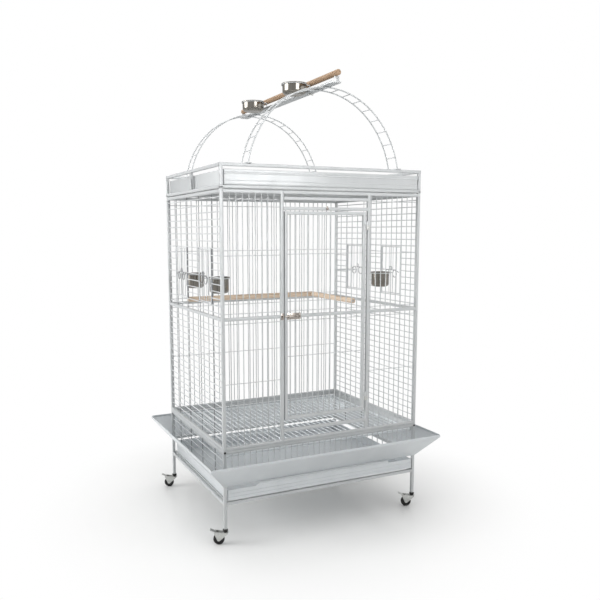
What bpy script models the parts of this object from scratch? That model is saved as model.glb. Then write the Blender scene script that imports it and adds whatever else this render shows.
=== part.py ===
# Play top parrot cage on a wheeled stand, with a ladder-arch play gym on its roof.
# Metres, +Z up. The floor is z = 0, the front faces -Y, and the origin lies under the
# middle of the whole object.

import math

import bmesh
import bpy
from mathutils import Matrix, Vector

# Square tube frame, outside sizes
CAGE_WIDTH = 0.9144
CAGE_DEPTH = 0.7112
TUBE = 0.0127
GAP = 0.0003

# Heights above the floor
LEG_BOTTOM = 0.0636
STAND_RAIL_Z = 0.1605
GUARD_RAIL_Z = 0.2385
STAND_TOP = 0.382
MID_RAIL_Z = 0.8945
BODY_TOP = 1.3947

# Grille wire
BAR_RADIUS = 0.002
WIRE_RADIUS = 0.0015
FRAME_WIRE_RADIUS = 0.0024
BAR_PITCH = 0.0265
RIGHT_PANEL_PITCH = 0.0257
UPPER_ROW_PITCH = 0.0279
ROOF_PITCH = 0.045
BAR_SIDES = 4
EMBED = 0.003
LAP = 0.0007
PAIR_OFFSET = 0.020
SIDE_WIRE_INNER_Y = 0.078
SIDE_WIRE_OUTER_Y = 0.233

# Front door and the frame round it
JAMB_X = 0.200
DOOR_LATCH_CLEARANCE = 0.005
DOOR_HINGE_CLEARANCE = 0.0087
DOOR_TOP_CLEARANCE = 0.005
DOOR_BOTTOM_CLEARANCE = 0.0388
SILL_RAIL_Z = 0.426
HEADER_LOW_Z = 1.320
HEADER_HIGH_Z = 1.3585
DOOR_BAR_PITCH = 0.0259
DOOR_FIRST_BAR = 0.013
DOOR_TIE_SHARE = 0.605

# Door hinges
HINGE_RADIUS = 0.0036
HINGE_PIN_RADIUS = 0.0016
HINGE_BORE_RADIUS = 0.0019
HINGE_LENGTH = 0.036
HINGE_LOW_Z = 0.520
HINGE_HIGH_Z = 1.242
HINGE_LEAF = 0.0024
HINGE_LEAF_REACH = 0.010
PIN_SIDES = 12

# Sliding latch of the door
LATCH_PLATE_LENGTH = 0.060
LATCH_PLATE_HEIGHT = 0.026
LATCH_PLATE_THICKNESS = 0.002
LATCH_GUIDE_WIDTH = 0.005
LATCH_GUIDE_WALL = 0.003
BOLT_RADIUS = 0.0025
BOLT_TRAVEL = 0.013
BOLT_TIP_CLEARANCE = 0.001
KNOB_RADIUS = 0.006
KNOB_REACH = 0.016

# Feeder doors in the side walls
BAY_FIRST_BAR = 1
BAY_LAST_BAR = 9
FEEDER_CLEARANCE = 0.0015
FEEDER_BARS = 4
RING_RADIUS = 0.0425
RING_DROP = 0.003
CUP_REACH = 0.060
CUP_LIFT = 0.0374

# Stainless cups
CUP_RADIUS = 0.0395
CUP_HEIGHT = 0.067
CUP_WALL = 0.0012
CUP_RIM = 0.0045
TOP_CUP_RADIUS = 0.0485
TOP_CUP_HEIGHT = 0.045
CUP_SIDES = 18
RING_STEPS = 18

# Seed guards
GUARD_REACH = 0.080
GUARD_RISE = 0.104
GUARD_FLANGE = 0.012
SHEET = 0.0015

# Pull-out tray and lift-out grate
TRAY_SIDE_CLEARANCE = 0.0045
TRAY_Z = 0.180
TRAY_HEIGHT = 0.042
TRAY_BACK_RISE = 0.012
TRAY_BACK_CLEARANCE = 0.010
TRAY_LIP_HALF = 0.320
TRAY_LIP_RISE = 0.014
TRAY_LIP_OUT = 0.008
RUNNER_REACH = 0.012
GRATE_SIDE_CLEARANCE = 0.003
GRATE_ROD = 0.008
GRATE_DROP = 0.0085
LEDGE_SHEET = 0.002

# Casters
WHEEL_RADIUS = 0.0225
WHEEL_WIDTH = 0.016
WHEEL_OFFSET = 0.026
WHEEL_BORE = 0.0032
AXLE_RADIUS = 0.0029
CHEEK_CLEARANCE = 0.002
CHEEK = 0.0022
SWIVEL_RADIUS = 0.0105
TRAIL_ANGLE = math.radians(154.9)
WHEEL_STEPS = 20
FORK_SIDES = 12
LEVER_PIVOT_OFFSET = 0.040
LEVER_PIVOT_Z = 0.0505
LEVER_TIP_OFFSET = 0.059
LEVER_TIP_Z = 0.060
SHOE_CLEARANCE = 0.0008

# Play top frame and tray
PLAY_FRAME_Z = 1.3985
PLAY_RIM_Z = 1.4805
PLAY_TRAY_HEIGHT = 0.058

# Ladder arches
ARCH_HALF_SPAN = 0.340
ARCH_RISE = 0.3045
ARCH_SINK = 0.0745
ARCH_WIRE_RADIUS = 0.0028
ARCH_WIRE_SPACING = 0.065
ARCH_RUNGS = 17
ARCH_FIRST_RUNG = math.radians(7.5)
ARCH_STEPS = 24
FOOT_LENGTH = 0.088
FOOT_WIDTH = 0.022
FOOT_THICKNESS = 0.003

# Perches
PERCH_RADIUS = 0.0115
PERCH_SIDES = 16
LOW_PERCH_Z = 0.942
LONG_PERCH_Y = 0.090
LONG_PERCH_RIGHT = 0.180
CROSS_PERCH_X = 0.1685
CROSS_PERCH_FRONT = 0.288
TOP_PERCH_FRONT = 0.439
TOP_PERCH_BACK = 0.520
TOP_PERCH_LIFT = 0.025

# Carrier strip under the top perch, with the rings of the top cups
STRIP_HALF_WIDTH = 0.019
STRIP_THICKNESS = 0.0015
STRIP_LIP = 0.008
STRIP_SETBACK = 0.014
TAB_HALF_WIDTH = 0.011
TAB_THICKNESS = 0.003
TOP_CUP_X = 0.075
TOP_CUP_FRONT_Y = 0.210
TOP_CUP_BACK_Y = 0.216
TOP_RING_RADIUS = 0.051
HOLDER_PLATE = 0.0015

# Places that follow from the sizes above
POST_X = (CAGE_WIDTH - TUBE) / 2
POST_Y = (CAGE_DEPTH - TUBE) / 2
INNER_X = POST_X - TUBE / 2
INNER_Y = POST_Y - TUBE / 2
FRONT = -CAGE_DEPTH / 2
BODY_BOTTOM = STAND_TOP + GAP
WIRE_SHIFT = BAR_RADIUS + GAP + WIRE_RADIUS
JAMB_INNER = JAMB_X - TUBE / 2
JAMB_OUTER = JAMB_X + TUBE / 2
DOOR_LEFT = -JAMB_INNER + DOOR_LATCH_CLEARANCE
DOOR_RIGHT = JAMB_INNER - DOOR_HINGE_CLEARANCE
DOOR_BOTTOM = SILL_RAIL_Z + TUBE + DOOR_BOTTOM_CLEARANCE
DOOR_TOP = HEADER_LOW_Z - DOOR_TOP_CLEARANCE
HINGE_X = JAMB_INNER - DOOR_HINGE_CLEARANCE / 2
LATCH_Z = MID_RAIL_Z + TUBE / 2
PLAY_RIM_TOP = PLAY_RIM_Z + TUBE
ARCH_FOOT_Z = PLAY_RIM_TOP + GAP
ARCH_TOP = ARCH_FOOT_Z + ARCH_RISE
STRIP_Z = ARCH_TOP + ARCH_WIRE_RADIUS + GAP
TOP_PERCH_Z = STRIP_Z + TOP_PERCH_LIFT + PERCH_RADIUS + STRIP_THICKNESS
CENTRE_Y = (TOP_PERCH_FRONT - TOP_PERCH_BACK) / 2

for leftover in list(bpy.data.objects):
    bpy.data.objects.remove(leftover, do_unlink=True)

PARTS = bpy.data.collections.new("play_top_parrot_cage")
CUTTERS = bpy.data.collections.new("cutters")
bpy.context.scene.collection.children.link(PARTS)
bpy.context.scene.collection.children.link(CUTTERS)

# The middle of the cage stands in front of the middle of the whole object,
# because the top perch reaches further to the back
CAGE = bpy.data.objects.new("cage_centre", None)
CAGE.location = (0, CENTRE_Y, 0)
PARTS.objects.link(CAGE)


def material(name, colour, metallic, roughness):
    """Principled surface of one kind of piece."""
    surface = bpy.data.materials.new(name)
    surface.use_nodes = True
    shader = surface.node_tree.nodes["Principled BSDF"]
    shader.inputs["Base Color"].default_value = (*colour, 1)
    shader.inputs["Metallic"].default_value = metallic
    shader.inputs["Roughness"].default_value = roughness
    surface.diffuse_color = (*colour, 1)
    return surface


COAT = material("silver_powder_coat", (0.56, 0.58, 0.60), 0.5, 0.40)
SHEET_COAT = material("sheet_powder_coat", (0.50, 0.53, 0.56), 0.5, 0.42)
STEEL = material("stainless_steel", (0.60, 0.58, 0.55), 1.0, 0.22)
ZINC = material("bright_zinc", (0.72, 0.72, 0.71), 1.0, 0.30)
BRONZE = material("dark_bronze", (0.10, 0.075, 0.055), 0.8, 0.40)
WOOD = material("turned_hardwood", (0.58, 0.36, 0.20), 0.0, 0.55)
RUBBER = material("black_rubber", (0.02, 0.02, 0.02), 0.0, 0.60)


def group(*shapes):
    """Solids of one group, each made by a function that adds it to the mesh."""
    mesh = bmesh.new()
    for shape in shapes:
        shape(mesh)
    return mesh


def box(x, y, z):
    """Block between two values on each axis."""
    spans = [sorted(span) for span in (x, y, z)]
    middle = [(low + high) / 2 for low, high in spans]
    size = [high - low for low, high in spans]
    place = Matrix.LocRotScale(Vector(middle), None, Vector(size))
    return lambda mesh: bmesh.ops.create_cube(mesh, size=1, matrix=place)


def beam(start, end, size=TUBE):
    """Square tube between two points on one axis."""
    spans = []
    for low, high in zip(start, end):
        half = size / 2 if low == high else 0
        spans.append((min(low, high) - half, max(low, high) + half))
    return box(*spans)


def rod(start, end, radius=BAR_RADIUS, sides=BAR_SIDES, end_radius=None):
    """Round bar between two points."""
    start, end = Vector(start), Vector(end)
    along = end - start
    turn = along.to_track_quat("Z", "Y")
    place = Matrix.LocRotScale((start + end) / 2, turn, None)
    far_radius = radius if end_radius is None else end_radius
    return lambda mesh: bmesh.ops.create_cone(
        mesh, cap_ends=True, segments=sides, radius1=radius, radius2=far_radius,
        depth=along.length, matrix=place)


def ring(centre, radius, wire, steps=RING_STEPS):
    """Wire bent to a level ring."""
    def add(mesh):
        start = Vector(centre) + Vector((radius, 0, 0))
        place = Matrix.Translation(start) @ Matrix.Rotation(math.pi / 2, 4, "X")
        circle = bmesh.ops.create_circle(mesh, segments=BAR_SIDES, radius=wire, matrix=place)
        edges = {edge for vertex in circle["verts"] for edge in vertex.link_edges}
        before = set(mesh.faces)
        bmesh.ops.spin(mesh, geom=circle["verts"] + list(edges), cent=centre, axis=(0, 0, 1),
                       angle=2 * math.pi, steps=steps, use_merge=True)
        bmesh.ops.recalc_face_normals(mesh, faces=[face for face in mesh.faces if face not in before])
    return add


def bent_wire(points, radius):
    """Round wire along a line of points."""
    def add(mesh):
        curve = bpy.data.curves.new("bent_wire", "CURVE")
        curve.dimensions = "3D"
        curve.bevel_depth = radius
        curve.bevel_resolution = 1
        curve.use_fill_caps = True
        spline = curve.splines.new("POLY")
        spline.points.add(len(points) - 1)
        for spot, point in zip(spline.points, points):
            spot.co = (*point, 1)
        guide = bpy.data.objects.new("bent_wire", curve)
        CUTTERS.objects.link(guide)
        seen = guide.evaluated_get(bpy.context.evaluated_depsgraph_get())
        wire = bpy.data.meshes.new_from_object(seen)
        mesh.from_mesh(wire)
        bmesh.ops.remove_doubles(mesh, verts=mesh.verts, dist=0.00001)
        bpy.data.objects.remove(guide, do_unlink=True)
        bpy.data.meshes.remove(wire)
    return add


def sheet_outline(centreline, thickness):
    """Outline of a folded sheet around its centre line, with sharp folds."""
    points = [Vector(point) for point in centreline]
    sides = [[], []]
    for index, point in enumerate(points):
        before = (point - points[index - 1]).normalized() if index else None
        after = (points[index + 1] - point).normalized() if index < len(points) - 1 else None
        first = before or after
        last = after or before
        normal = (Vector((-first.y, first.x)) + Vector((-last.y, last.x))).normalized()
        reach = thickness / 2 / normal.dot(Vector((-last.y, last.x)))
        sides[0].append(point + normal * reach)
        sides[1].append(point - normal * reach)
    return sides[0] + sides[1][::-1]


def folded_sheet(outline, half_length, cuts=()):
    """Sheet of one cross-section (y, z) drawn out along X, trimmed by planes."""
    def add(mesh):
        corners = [mesh.verts.new((-half_length, y, z)) for y, z in outline]
        end = mesh.faces.new(corners)
        drawn = bmesh.ops.extrude_face_region(mesh, geom=[end])
        moved = [item for item in drawn["geom"] if isinstance(item, bmesh.types.BMVert)]
        bmesh.ops.translate(mesh, verts=moved, vec=(2 * half_length, 0, 0))
        for point, normal in cuts:
            cut = bmesh.ops.bisect_plane(mesh, geom=mesh.verts[:] + mesh.edges[:] + mesh.faces[:],
                                         plane_co=point, plane_no=normal, clear_outer=True)
            rim = [item for item in cut["geom_cut"] if isinstance(item, bmesh.types.BMEdge)]
            bmesh.ops.edgeloop_fill(mesh, edges=rim)
        bmesh.ops.recalc_face_normals(mesh, faces=mesh.faces)
    return add


def pan(x, y, z, wall):
    """Open-topped tray between two values on each axis."""
    def add(mesh):
        box(x, y, z)(mesh)
        top = max(mesh.faces, key=lambda face: face.calc_center_median().z)
        bmesh.ops.inset_region(mesh, faces=[top], thickness=wall)
        sunk = bmesh.ops.extrude_face_region(mesh, geom=[top])
        moved = [item for item in sunk["geom"] if isinstance(item, bmesh.types.BMVert)]
        bmesh.ops.translate(mesh, verts=moved, vec=(0, 0, min(z) + wall - max(z)))
        bmesh.ops.delete(mesh, geom=[top], context="FACES_ONLY")
        bmesh.ops.recalc_face_normals(mesh, faces=mesh.faces)
    return add


def piece(name, mesh, surface, origin=(0, 0, 0), turn=0.0, collection=PARTS):
    """Object made from a mesh whose points are given from the object's own origin."""
    data = bpy.data.meshes.new(name)
    mesh.to_mesh(data)
    mesh.free()
    data.shade_smooth()
    data.set_sharp_from_angle(angle=math.radians(35))
    data.materials.append(surface)
    made = bpy.data.objects.new(name, data)
    made.location = origin
    made.rotation_euler = (0, 0, turn)
    made.parent = CAGE
    collection.objects.link(made)
    return made


def welded(name, groups, surface, origin=(0, 0, 0), turn=0.0, cut=None):
    """One body: the first group of solids with the other groups joined to it."""
    whole = piece(name, groups[0], surface, origin, turn)
    extra = [(mesh, "UNION") for mesh in groups[1:]]
    if cut is not None:
        extra.append((cut, "DIFFERENCE"))
    for number, (mesh, operation) in enumerate(extra, 1):
        tool = piece(f"{name}_{operation.lower()}_{number}", mesh, surface, origin, turn, CUTTERS)
        tool.hide_render = True
        tool.display_type = "WIRE"
        step = whole.modifiers.new(f"weld_{number}", "BOOLEAN")
        step.operation = operation
        step.solver = "EXACT"
        step.object = tool
    return whole


def turned(name, profile, surface, origin, steps=CUP_SIDES, bored=False):
    """Body turned about the vertical through its origin, from (radius, height) points."""
    mesh = bmesh.new()
    points = [mesh.verts.new((radius, 0, height)) for radius, height in profile]
    line = points + points[:1] if bored else points
    for first, second in zip(line, line[1:]):
        mesh.edges.new((first, second))
    made = piece(name, mesh, surface, origin)
    spin = made.modifiers.new("turn", "SCREW")
    spin.steps = steps
    spin.render_steps = steps
    spin.use_merge_vertices = True
    spin.merge_threshold = 0.00001
    return made


def spaced(low, high, pitch=BAR_PITCH):
    """Even places between two rails, about one pitch apart."""
    count = max(1, round((high - low) / pitch) - 1)
    step = (high - low) / (count + 1)
    return [low + step * (number + 1) for number in range(count)]


def stepped(first, last, pitch):
    """Places one exact pitch apart from the first on, as far as the last."""
    count = int((last - first) / pitch) + 1
    return [first + pitch * number for number in range(count)]


# Stand
def stand_side(name, side):
    """Legs, rails and wires of one end, with the tray runner and the grate ledge."""
    x = side * POST_X
    top_rail = STAND_TOP - TUBE / 2
    guard_rail = GUARD_RAIL_Z + TUBE / 2
    low_rail = STAND_RAIL_Z + TUBE / 2
    legs = group(*[beam((x, y, LEG_BOTTOM), (x, y, STAND_TOP)) for y in (-POST_Y, POST_Y)])
    rails = group(*[beam((x, -POST_Y, z), (x, POST_Y, z)) for z in (low_rail, guard_rail, top_rail)])
    rows = spaced(GUARD_RAIL_Z + TUBE, STAND_TOP - TUBE)
    bars = group(*[rod((x, -INNER_Y - EMBED, z), (x, INNER_Y + EMBED, z)) for z in rows])
    wire_x = side * (POST_X - WIRE_SHIFT)
    places = (-SIDE_WIRE_OUTER_Y, -SIDE_WIRE_INNER_Y, SIDE_WIRE_INNER_Y, SIDE_WIRE_OUTER_Y)
    wires = group(*[rod((wire_x, y, guard_rail), (wire_x, y, top_rail), WIRE_RADIUS) for y in places])
    reach = side * (INNER_X - RUNNER_REACH)
    along = (-INNER_Y + GAP, INNER_Y - GAP)
    ledge_top = STAND_TOP - TUBE - GRATE_DROP - GRATE_ROD
    ledges = group(
        box((x, reach), along, (low_rail, TRAY_Z - GAP)),
        box((side * (INNER_X - SHEET), side * (INNER_X + SHEET / 3)), along,
            (ledge_top - LEDGE_SHEET, top_rail)))
    shelf = group(box((side * INNER_X, reach), along, (ledge_top - LEDGE_SHEET, ledge_top)))
    return welded(name, [legs, rails, bars, wires, ledges, shelf], COAT)


def stand_panel(name, facing):
    """Barred front or back of the stand, above the tray."""
    y = facing * POST_Y
    reach = INNER_X - GAP
    heights = (GUARD_RAIL_Z + TUBE / 2, STAND_TOP - TUBE / 2)
    rails = group(*[beam((-reach, y, z), (reach, y, z)) for z in heights])
    low, high = GUARD_RAIL_Z + TUBE - EMBED, STAND_TOP - TUBE + EMBED
    bars = group(*[rod((x, y, low), (x, y, high)) for x in spaced(-INNER_X, INNER_X)])
    return welded(name, [rails, bars], COAT)


def stand_rail(name, facing):
    """Tube across the stand under the tray."""
    y, z = facing * POST_Y, STAND_RAIL_Z + TUBE / 2
    return piece(name, group(beam((-INNER_X + GAP, y, z), (INNER_X - GAP, y, z))), COAT)


def seed_guard(name, half_length, distance, turn):
    """Sloping sheet that throws seed back, with a flange on the rail and mitred ends."""
    face = -distance - GAP - SHEET / 2
    flange = (face, GUARD_RAIL_Z + GUARD_FLANGE)
    fold = (face, GUARD_RAIL_Z)
    edge = (-distance - GUARD_REACH, GUARD_RAIL_Z + GUARD_RISE)
    outline = sheet_outline((flange, fold, edge), SHEET)
    cuts = [((side * (half_length - GAP / 2), -distance, 0), (side, 1, 0)) for side in (-1, 1)]
    sheet = folded_sheet(outline, half_length + 2 * GUARD_REACH, cuts)
    return piece(name, group(sheet), SHEET_COAT, turn=turn)


def bottom_tray():
    """Pull-out pan with a wide finger lip on its front and a raised back."""
    half = INNER_X - TRAY_SIDE_CLEARANCE
    back = INNER_Y - TRAY_BACK_CLEARANCE
    top = TRAY_Z + TRAY_HEIGHT
    body = group(pan((-half, half), (FRONT, back), (TRAY_Z, top), SHEET))
    raised = group(box((EMBED - half, half - EMBED), (back - SHEET * 0.9, back - SHEET * 0.1),
                       (top - EMBED, top + TRAY_BACK_RISE)))
    root = (FRONT + SHEET / 2, top - EMBED)
    bend = (FRONT + SHEET / 2, top)
    tip = (FRONT - TRAY_LIP_OUT, top + TRAY_LIP_RISE)
    slant = [((side * TRAY_LIP_HALF, 0, top), (side, 0, 1)) for side in (-1, 1)]
    outline = sheet_outline((root, bend, tip), SHEET * 0.9)
    lip = group(folded_sheet(outline, TRAY_LIP_HALF + EMBED, slant))
    return welded("bottom_tray", [body, lip, raised], SHEET_COAT)


def grate():
    """Lift-out floor grate of bars that run front to back."""
    half_x = INNER_X - GRATE_SIDE_CLEARANCE - GRATE_ROD / 2
    half_y = INNER_Y - GRATE_SIDE_CLEARANCE - GRATE_ROD / 2
    z = STAND_TOP - TUBE - GRATE_DROP - GRATE_ROD / 2 + GAP
    reach = half_x + GRATE_ROD / 2
    ends = group(*[beam((-reach, y, z), (reach, y, z), GRATE_ROD) for y in (-half_y, half_y)])
    sides = group(*[beam((x, -half_y, z), (x, half_y, z), GRATE_ROD) for x in (-half_x, half_x)])
    bars = group(*[rod((x, -half_y, z), (x, half_y, z)) for x in spaced(-half_x, half_x)])
    over = z + 2 * BAR_RADIUS + GAP
    across = group(*[rod((-half_x, y, over), (half_x, y, over))
                     for y in (-half_y / 3, half_y / 3)])
    return welded("floor_grate", [ends, sides, bars, across], COAT)


# Casters
def caster(name, x, y):
    """Swivel fork, wheel and brake lever under one leg."""
    inside = WHEEL_WIDTH / 2 + CHEEK_CLEARANCE
    outside = inside + CHEEK
    crown = 2 * WHEEL_RADIUS + CHEEK_CLEARANCE
    hub = (WHEEL_OFFSET, 0, WHEEL_RADIUS)
    head = group(rod((0, 0, crown), (0, 0, LEG_BOTTOM - GAP), SWIVEL_RADIUS, FORK_SIDES))
    top = group(box((-SWIVEL_RADIUS, WHEEL_OFFSET + CHEEK), (-outside, outside),
                    (crown, crown + CHEEK)))
    cheeks = group()
    for side in (-1, 1):
        plate = [(-SWIVEL_RADIUS, crown + CHEEK),
                 (WHEEL_OFFSET - 3 * AXLE_RADIUS, WHEEL_RADIUS - 2 * AXLE_RADIUS),
                 (WHEEL_OFFSET + 2 * AXLE_RADIUS, WHEEL_RADIUS - 2 * AXLE_RADIUS),
                 (LEVER_PIVOT_OFFSET + 2 * AXLE_RADIUS, LEVER_PIVOT_Z + AXLE_RADIUS)]
        corners = [cheeks.verts.new((u, side * inside, z)) for u, z in plate]
        drawn = bmesh.ops.extrude_face_region(cheeks, geom=[cheeks.faces.new(corners)])
        moved = [item for item in drawn["geom"] if isinstance(item, bmesh.types.BMVert)]
        bmesh.ops.translate(cheeks, verts=moved, vec=(0, side * CHEEK, 0))
    bmesh.ops.recalc_face_normals(cheeks, faces=cheeks.faces)
    axle = group(rod((hub[0], -outside - CHEEK, hub[2]), (hub[0], outside + CHEEK, hub[2]),
                     AXLE_RADIUS, FORK_SIDES))
    place = Vector((x, y, 0))
    spin = Matrix.Rotation(TRAIL_ANGLE, 3, "Z")
    welded(f"caster_fork_{name}", [top, head, cheeks, axle], ZINC, place, TRAIL_ANGLE)

    half = WHEEL_WIDTH / 2
    upper = [(WHEEL_BORE, half), (WHEEL_RADIUS * 0.55, half), (WHEEL_RADIUS * 0.92, half * 0.8),
             (WHEEL_RADIUS, half * 0.45)]
    profile = upper + [(radius, -height) for radius, height in reversed(upper)]
    wheel = turned(f"caster_wheel_{name}", profile, RUBBER, place + spin @ Vector(hub),
                   WHEEL_STEPS, True)
    wheel.rotation_euler = (math.pi / 2, 0, TRAIL_ANGLE)

    pivot = Vector((LEVER_PIVOT_OFFSET, 0, LEVER_PIVOT_Z))
    reach = Vector((LEVER_TIP_OFFSET, 0, LEVER_TIP_Z)) - pivot
    rise = math.atan2(reach.z, reach.x)
    pedal = group(box((-AXLE_RADIUS, reach.length), (-inside + GAP, inside - GAP), (0, CHEEK)))
    bmesh.ops.rotate(pedal, verts=pedal.verts, matrix=Matrix.Rotation(-rise, 3, "Y"))
    tread = group(rod((reach.x, -inside + GAP, reach.z), (reach.x, inside - GAP, reach.z), CHEEK, 8))
    pin = group(rod((0, -inside + GAP, 0), (0, inside - GAP, 0), CHEEK, 8))
    drop = (pivot - Vector(hub)).length - WHEEL_RADIUS - SHOE_CLEARANCE
    shoe = group(box((-CHEEK / 2, CHEEK / 2), (-half, half), (-drop, 0)))
    welded(f"brake_lever_{name}", [pedal, tread, pin, shoe], ZINC, place + spin @ pivot, TRAIL_ANGLE)


# Cage body
def bay_rows():
    """Heights of the upper bars of a side wall, half a pitch from the rails at both ends."""
    low, high = MID_RAIL_Z + TUBE, BODY_TOP - TUBE
    count = round((high - low) / UPPER_ROW_PITCH)
    return [low + (high - low) * (number + 0.5) / count for number in range(count)]


def cup_bottom():
    """Height of the underside of the cups, over the lower bar of the feeder bays."""
    return bay_rows()[BAY_FIRST_BAR] + CUP_LIFT


def body_side(name, side):
    """Corner posts, rails and level bars of one end wall, with two feeder bays."""
    x = side * POST_X
    posts = group(*[beam((x, y, BODY_BOTTOM), (x, y, BODY_TOP)) for y in (-POST_Y, POST_Y)])
    heights = (BODY_BOTTOM + TUBE / 2, MID_RAIL_Z + TUBE / 2, BODY_TOP - TUBE / 2)
    rails = group(*[beam((x, -POST_Y, z), (x, POST_Y, z)) for z in heights])
    end = INNER_Y + EMBED
    whole_rows = spaced(BODY_BOTTOM + TUBE, MID_RAIL_Z)
    cut_rows = []
    for number, z in enumerate(bay_rows()):
        if BAY_FIRST_BAR < number < BAY_LAST_BAR:
            cut_rows.append(z)
        else:
            whole_rows.append(z)
    bars = group(*[rod((x, -end, z), (x, end, z)) for z in whole_rows])
    inner, outer = SIDE_WIRE_INNER_Y, SIDE_WIRE_OUTER_Y
    short = group(*[rod((x, first, z), (x, last, z)) for z in cut_rows for first, last in
                    ((-end, -outer + LAP), (-inner - LAP, inner + LAP), (outer - LAP, end))])
    places = (-outer, -inner, inner, outer)
    low, high = bay_rows()[BAY_FIRST_BAR], bay_rows()[BAY_LAST_BAR]
    frames = group(*[rod((x, y, low - LAP), (x, y, high + LAP), FRAME_WIRE_RADIUS)
                     for y in places])
    wire_x = side * (POST_X - WIRE_SHIFT)
    wires = group(*[rod((wire_x, y, heights[0]), (wire_x, y, heights[2]), WIRE_RADIUS)
                    for y in places])
    return welded(name, [posts, rails, bars, frames, short, wires], COAT)


def cross_levels():
    """Heights of the level wires that tie a wall of upright bars."""
    mid = MID_RAIL_Z + TUBE / 2
    lower = (BODY_BOTTOM + TUBE + MID_RAIL_Z) / 2
    upper = (MID_RAIL_Z + TUBE + BODY_TOP - TUBE) / 2
    return (lower, mid - PAIR_OFFSET, mid + PAIR_OFFSET, upper, HEADER_HIGH_Z)


def body_rear():
    """Back wall of upright bars between the side walls."""
    y, reach = POST_Y, INNER_X - GAP
    heights = (BODY_BOTTOM + TUBE / 2, MID_RAIL_Z + TUBE / 2, BODY_TOP - TUBE / 2)
    rails = group(*[beam((-reach, y, z), (reach, y, z)) for z in heights])
    depth = (y - BAR_RADIUS - 2 * WIRE_RADIUS - GAP, y + BAR_RADIUS)
    stiles = group(*[box((side * reach, side * (reach - SHEET)), depth, (heights[0], heights[2]))
                     for side in (-1, 1)])
    bars = group(*[rod((x, y, low), (x, y, high)) for x in spaced(-INNER_X, INNER_X)
                   for low, high in ((heights[0], heights[1]), (heights[1] + GAP, heights[2]))])
    wire_y = y - WIRE_SHIFT
    end = reach - SHEET / 3
    wires = group(*[rod((-end, wire_y, z), (end, wire_y, z), WIRE_RADIUS)
                    for z in cross_levels()])
    return welded("body_rear_wall", [rails, stiles, bars, wires], COAT)


def front_section(name, side, pitch):
    """Barred part of the front beside the door, with the door's jamb."""
    y = -POST_Y
    outer = side * (INNER_X - GAP)
    jamb = group(beam((side * JAMB_X, y, BODY_BOTTOM), (side * JAMB_X, y, BODY_TOP)))
    heights = (BODY_BOTTOM + TUBE / 2, MID_RAIL_Z + TUBE / 2, BODY_TOP - TUBE / 2)
    rails = group(*[beam((outer, y, z), (side * JAMB_X, y, z)) for z in heights])
    depth = (y - BAR_RADIUS, y + BAR_RADIUS + 2 * WIRE_RADIUS + GAP)
    stile = group(box((outer, outer - side * SHEET), depth, (heights[0], heights[2])))
    places = [side * (INNER_X - step) for step in stepped(pitch, INNER_X - JAMB_OUTER - GAP, pitch)]
    bars = group(*[rod((x, y, low), (x, y, high)) for x in places
                   for low, high in ((heights[0], heights[1]), (heights[1] + GAP, heights[2]))])
    wire_y = y + WIRE_SHIFT
    end = outer - side * SHEET / 3
    wires = group(*[rod((end, wire_y, z), (side * JAMB_X, wire_y, z), WIRE_RADIUS)
                    for z in cross_levels()])
    return welded(name, [jamb, rails, stile, bars, wires], COAT)


def between_jambs(name, heights):
    """Rails between the jambs, on a thin strip along each jamb."""
    reach, y = JAMB_INNER - GAP, -POST_Y
    rails = group(*[beam((-reach, y, z), (reach, y, z)) for z in heights])
    strips = group(*[box((side * reach, side * (reach - SHEET)), (y - TUBE / 4, y + TUBE / 4),
                         (heights[0], heights[-1])) for side in (-1, 1)])
    return welded(name, [rails, strips], COAT)


def roof_grille():
    """Bars that close the top of the body, under the play top tray."""
    z = BODY_TOP - TUBE / 2
    half_y = INNER_Y - GAP - BAR_RADIUS
    half_x = INNER_X - GAP
    ends = group(*[beam((-half_x, y, z), (half_x, y, z), 2 * BAR_RADIUS)
                   for y in (-half_y, half_y)])
    bars = group(*[rod((x, -half_y, z), (x, half_y, z), WIRE_RADIUS)
                   for x in spaced(-half_x, half_x, ROOF_PITCH)])
    return welded("roof_grille", [ends, bars], COAT)


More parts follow.
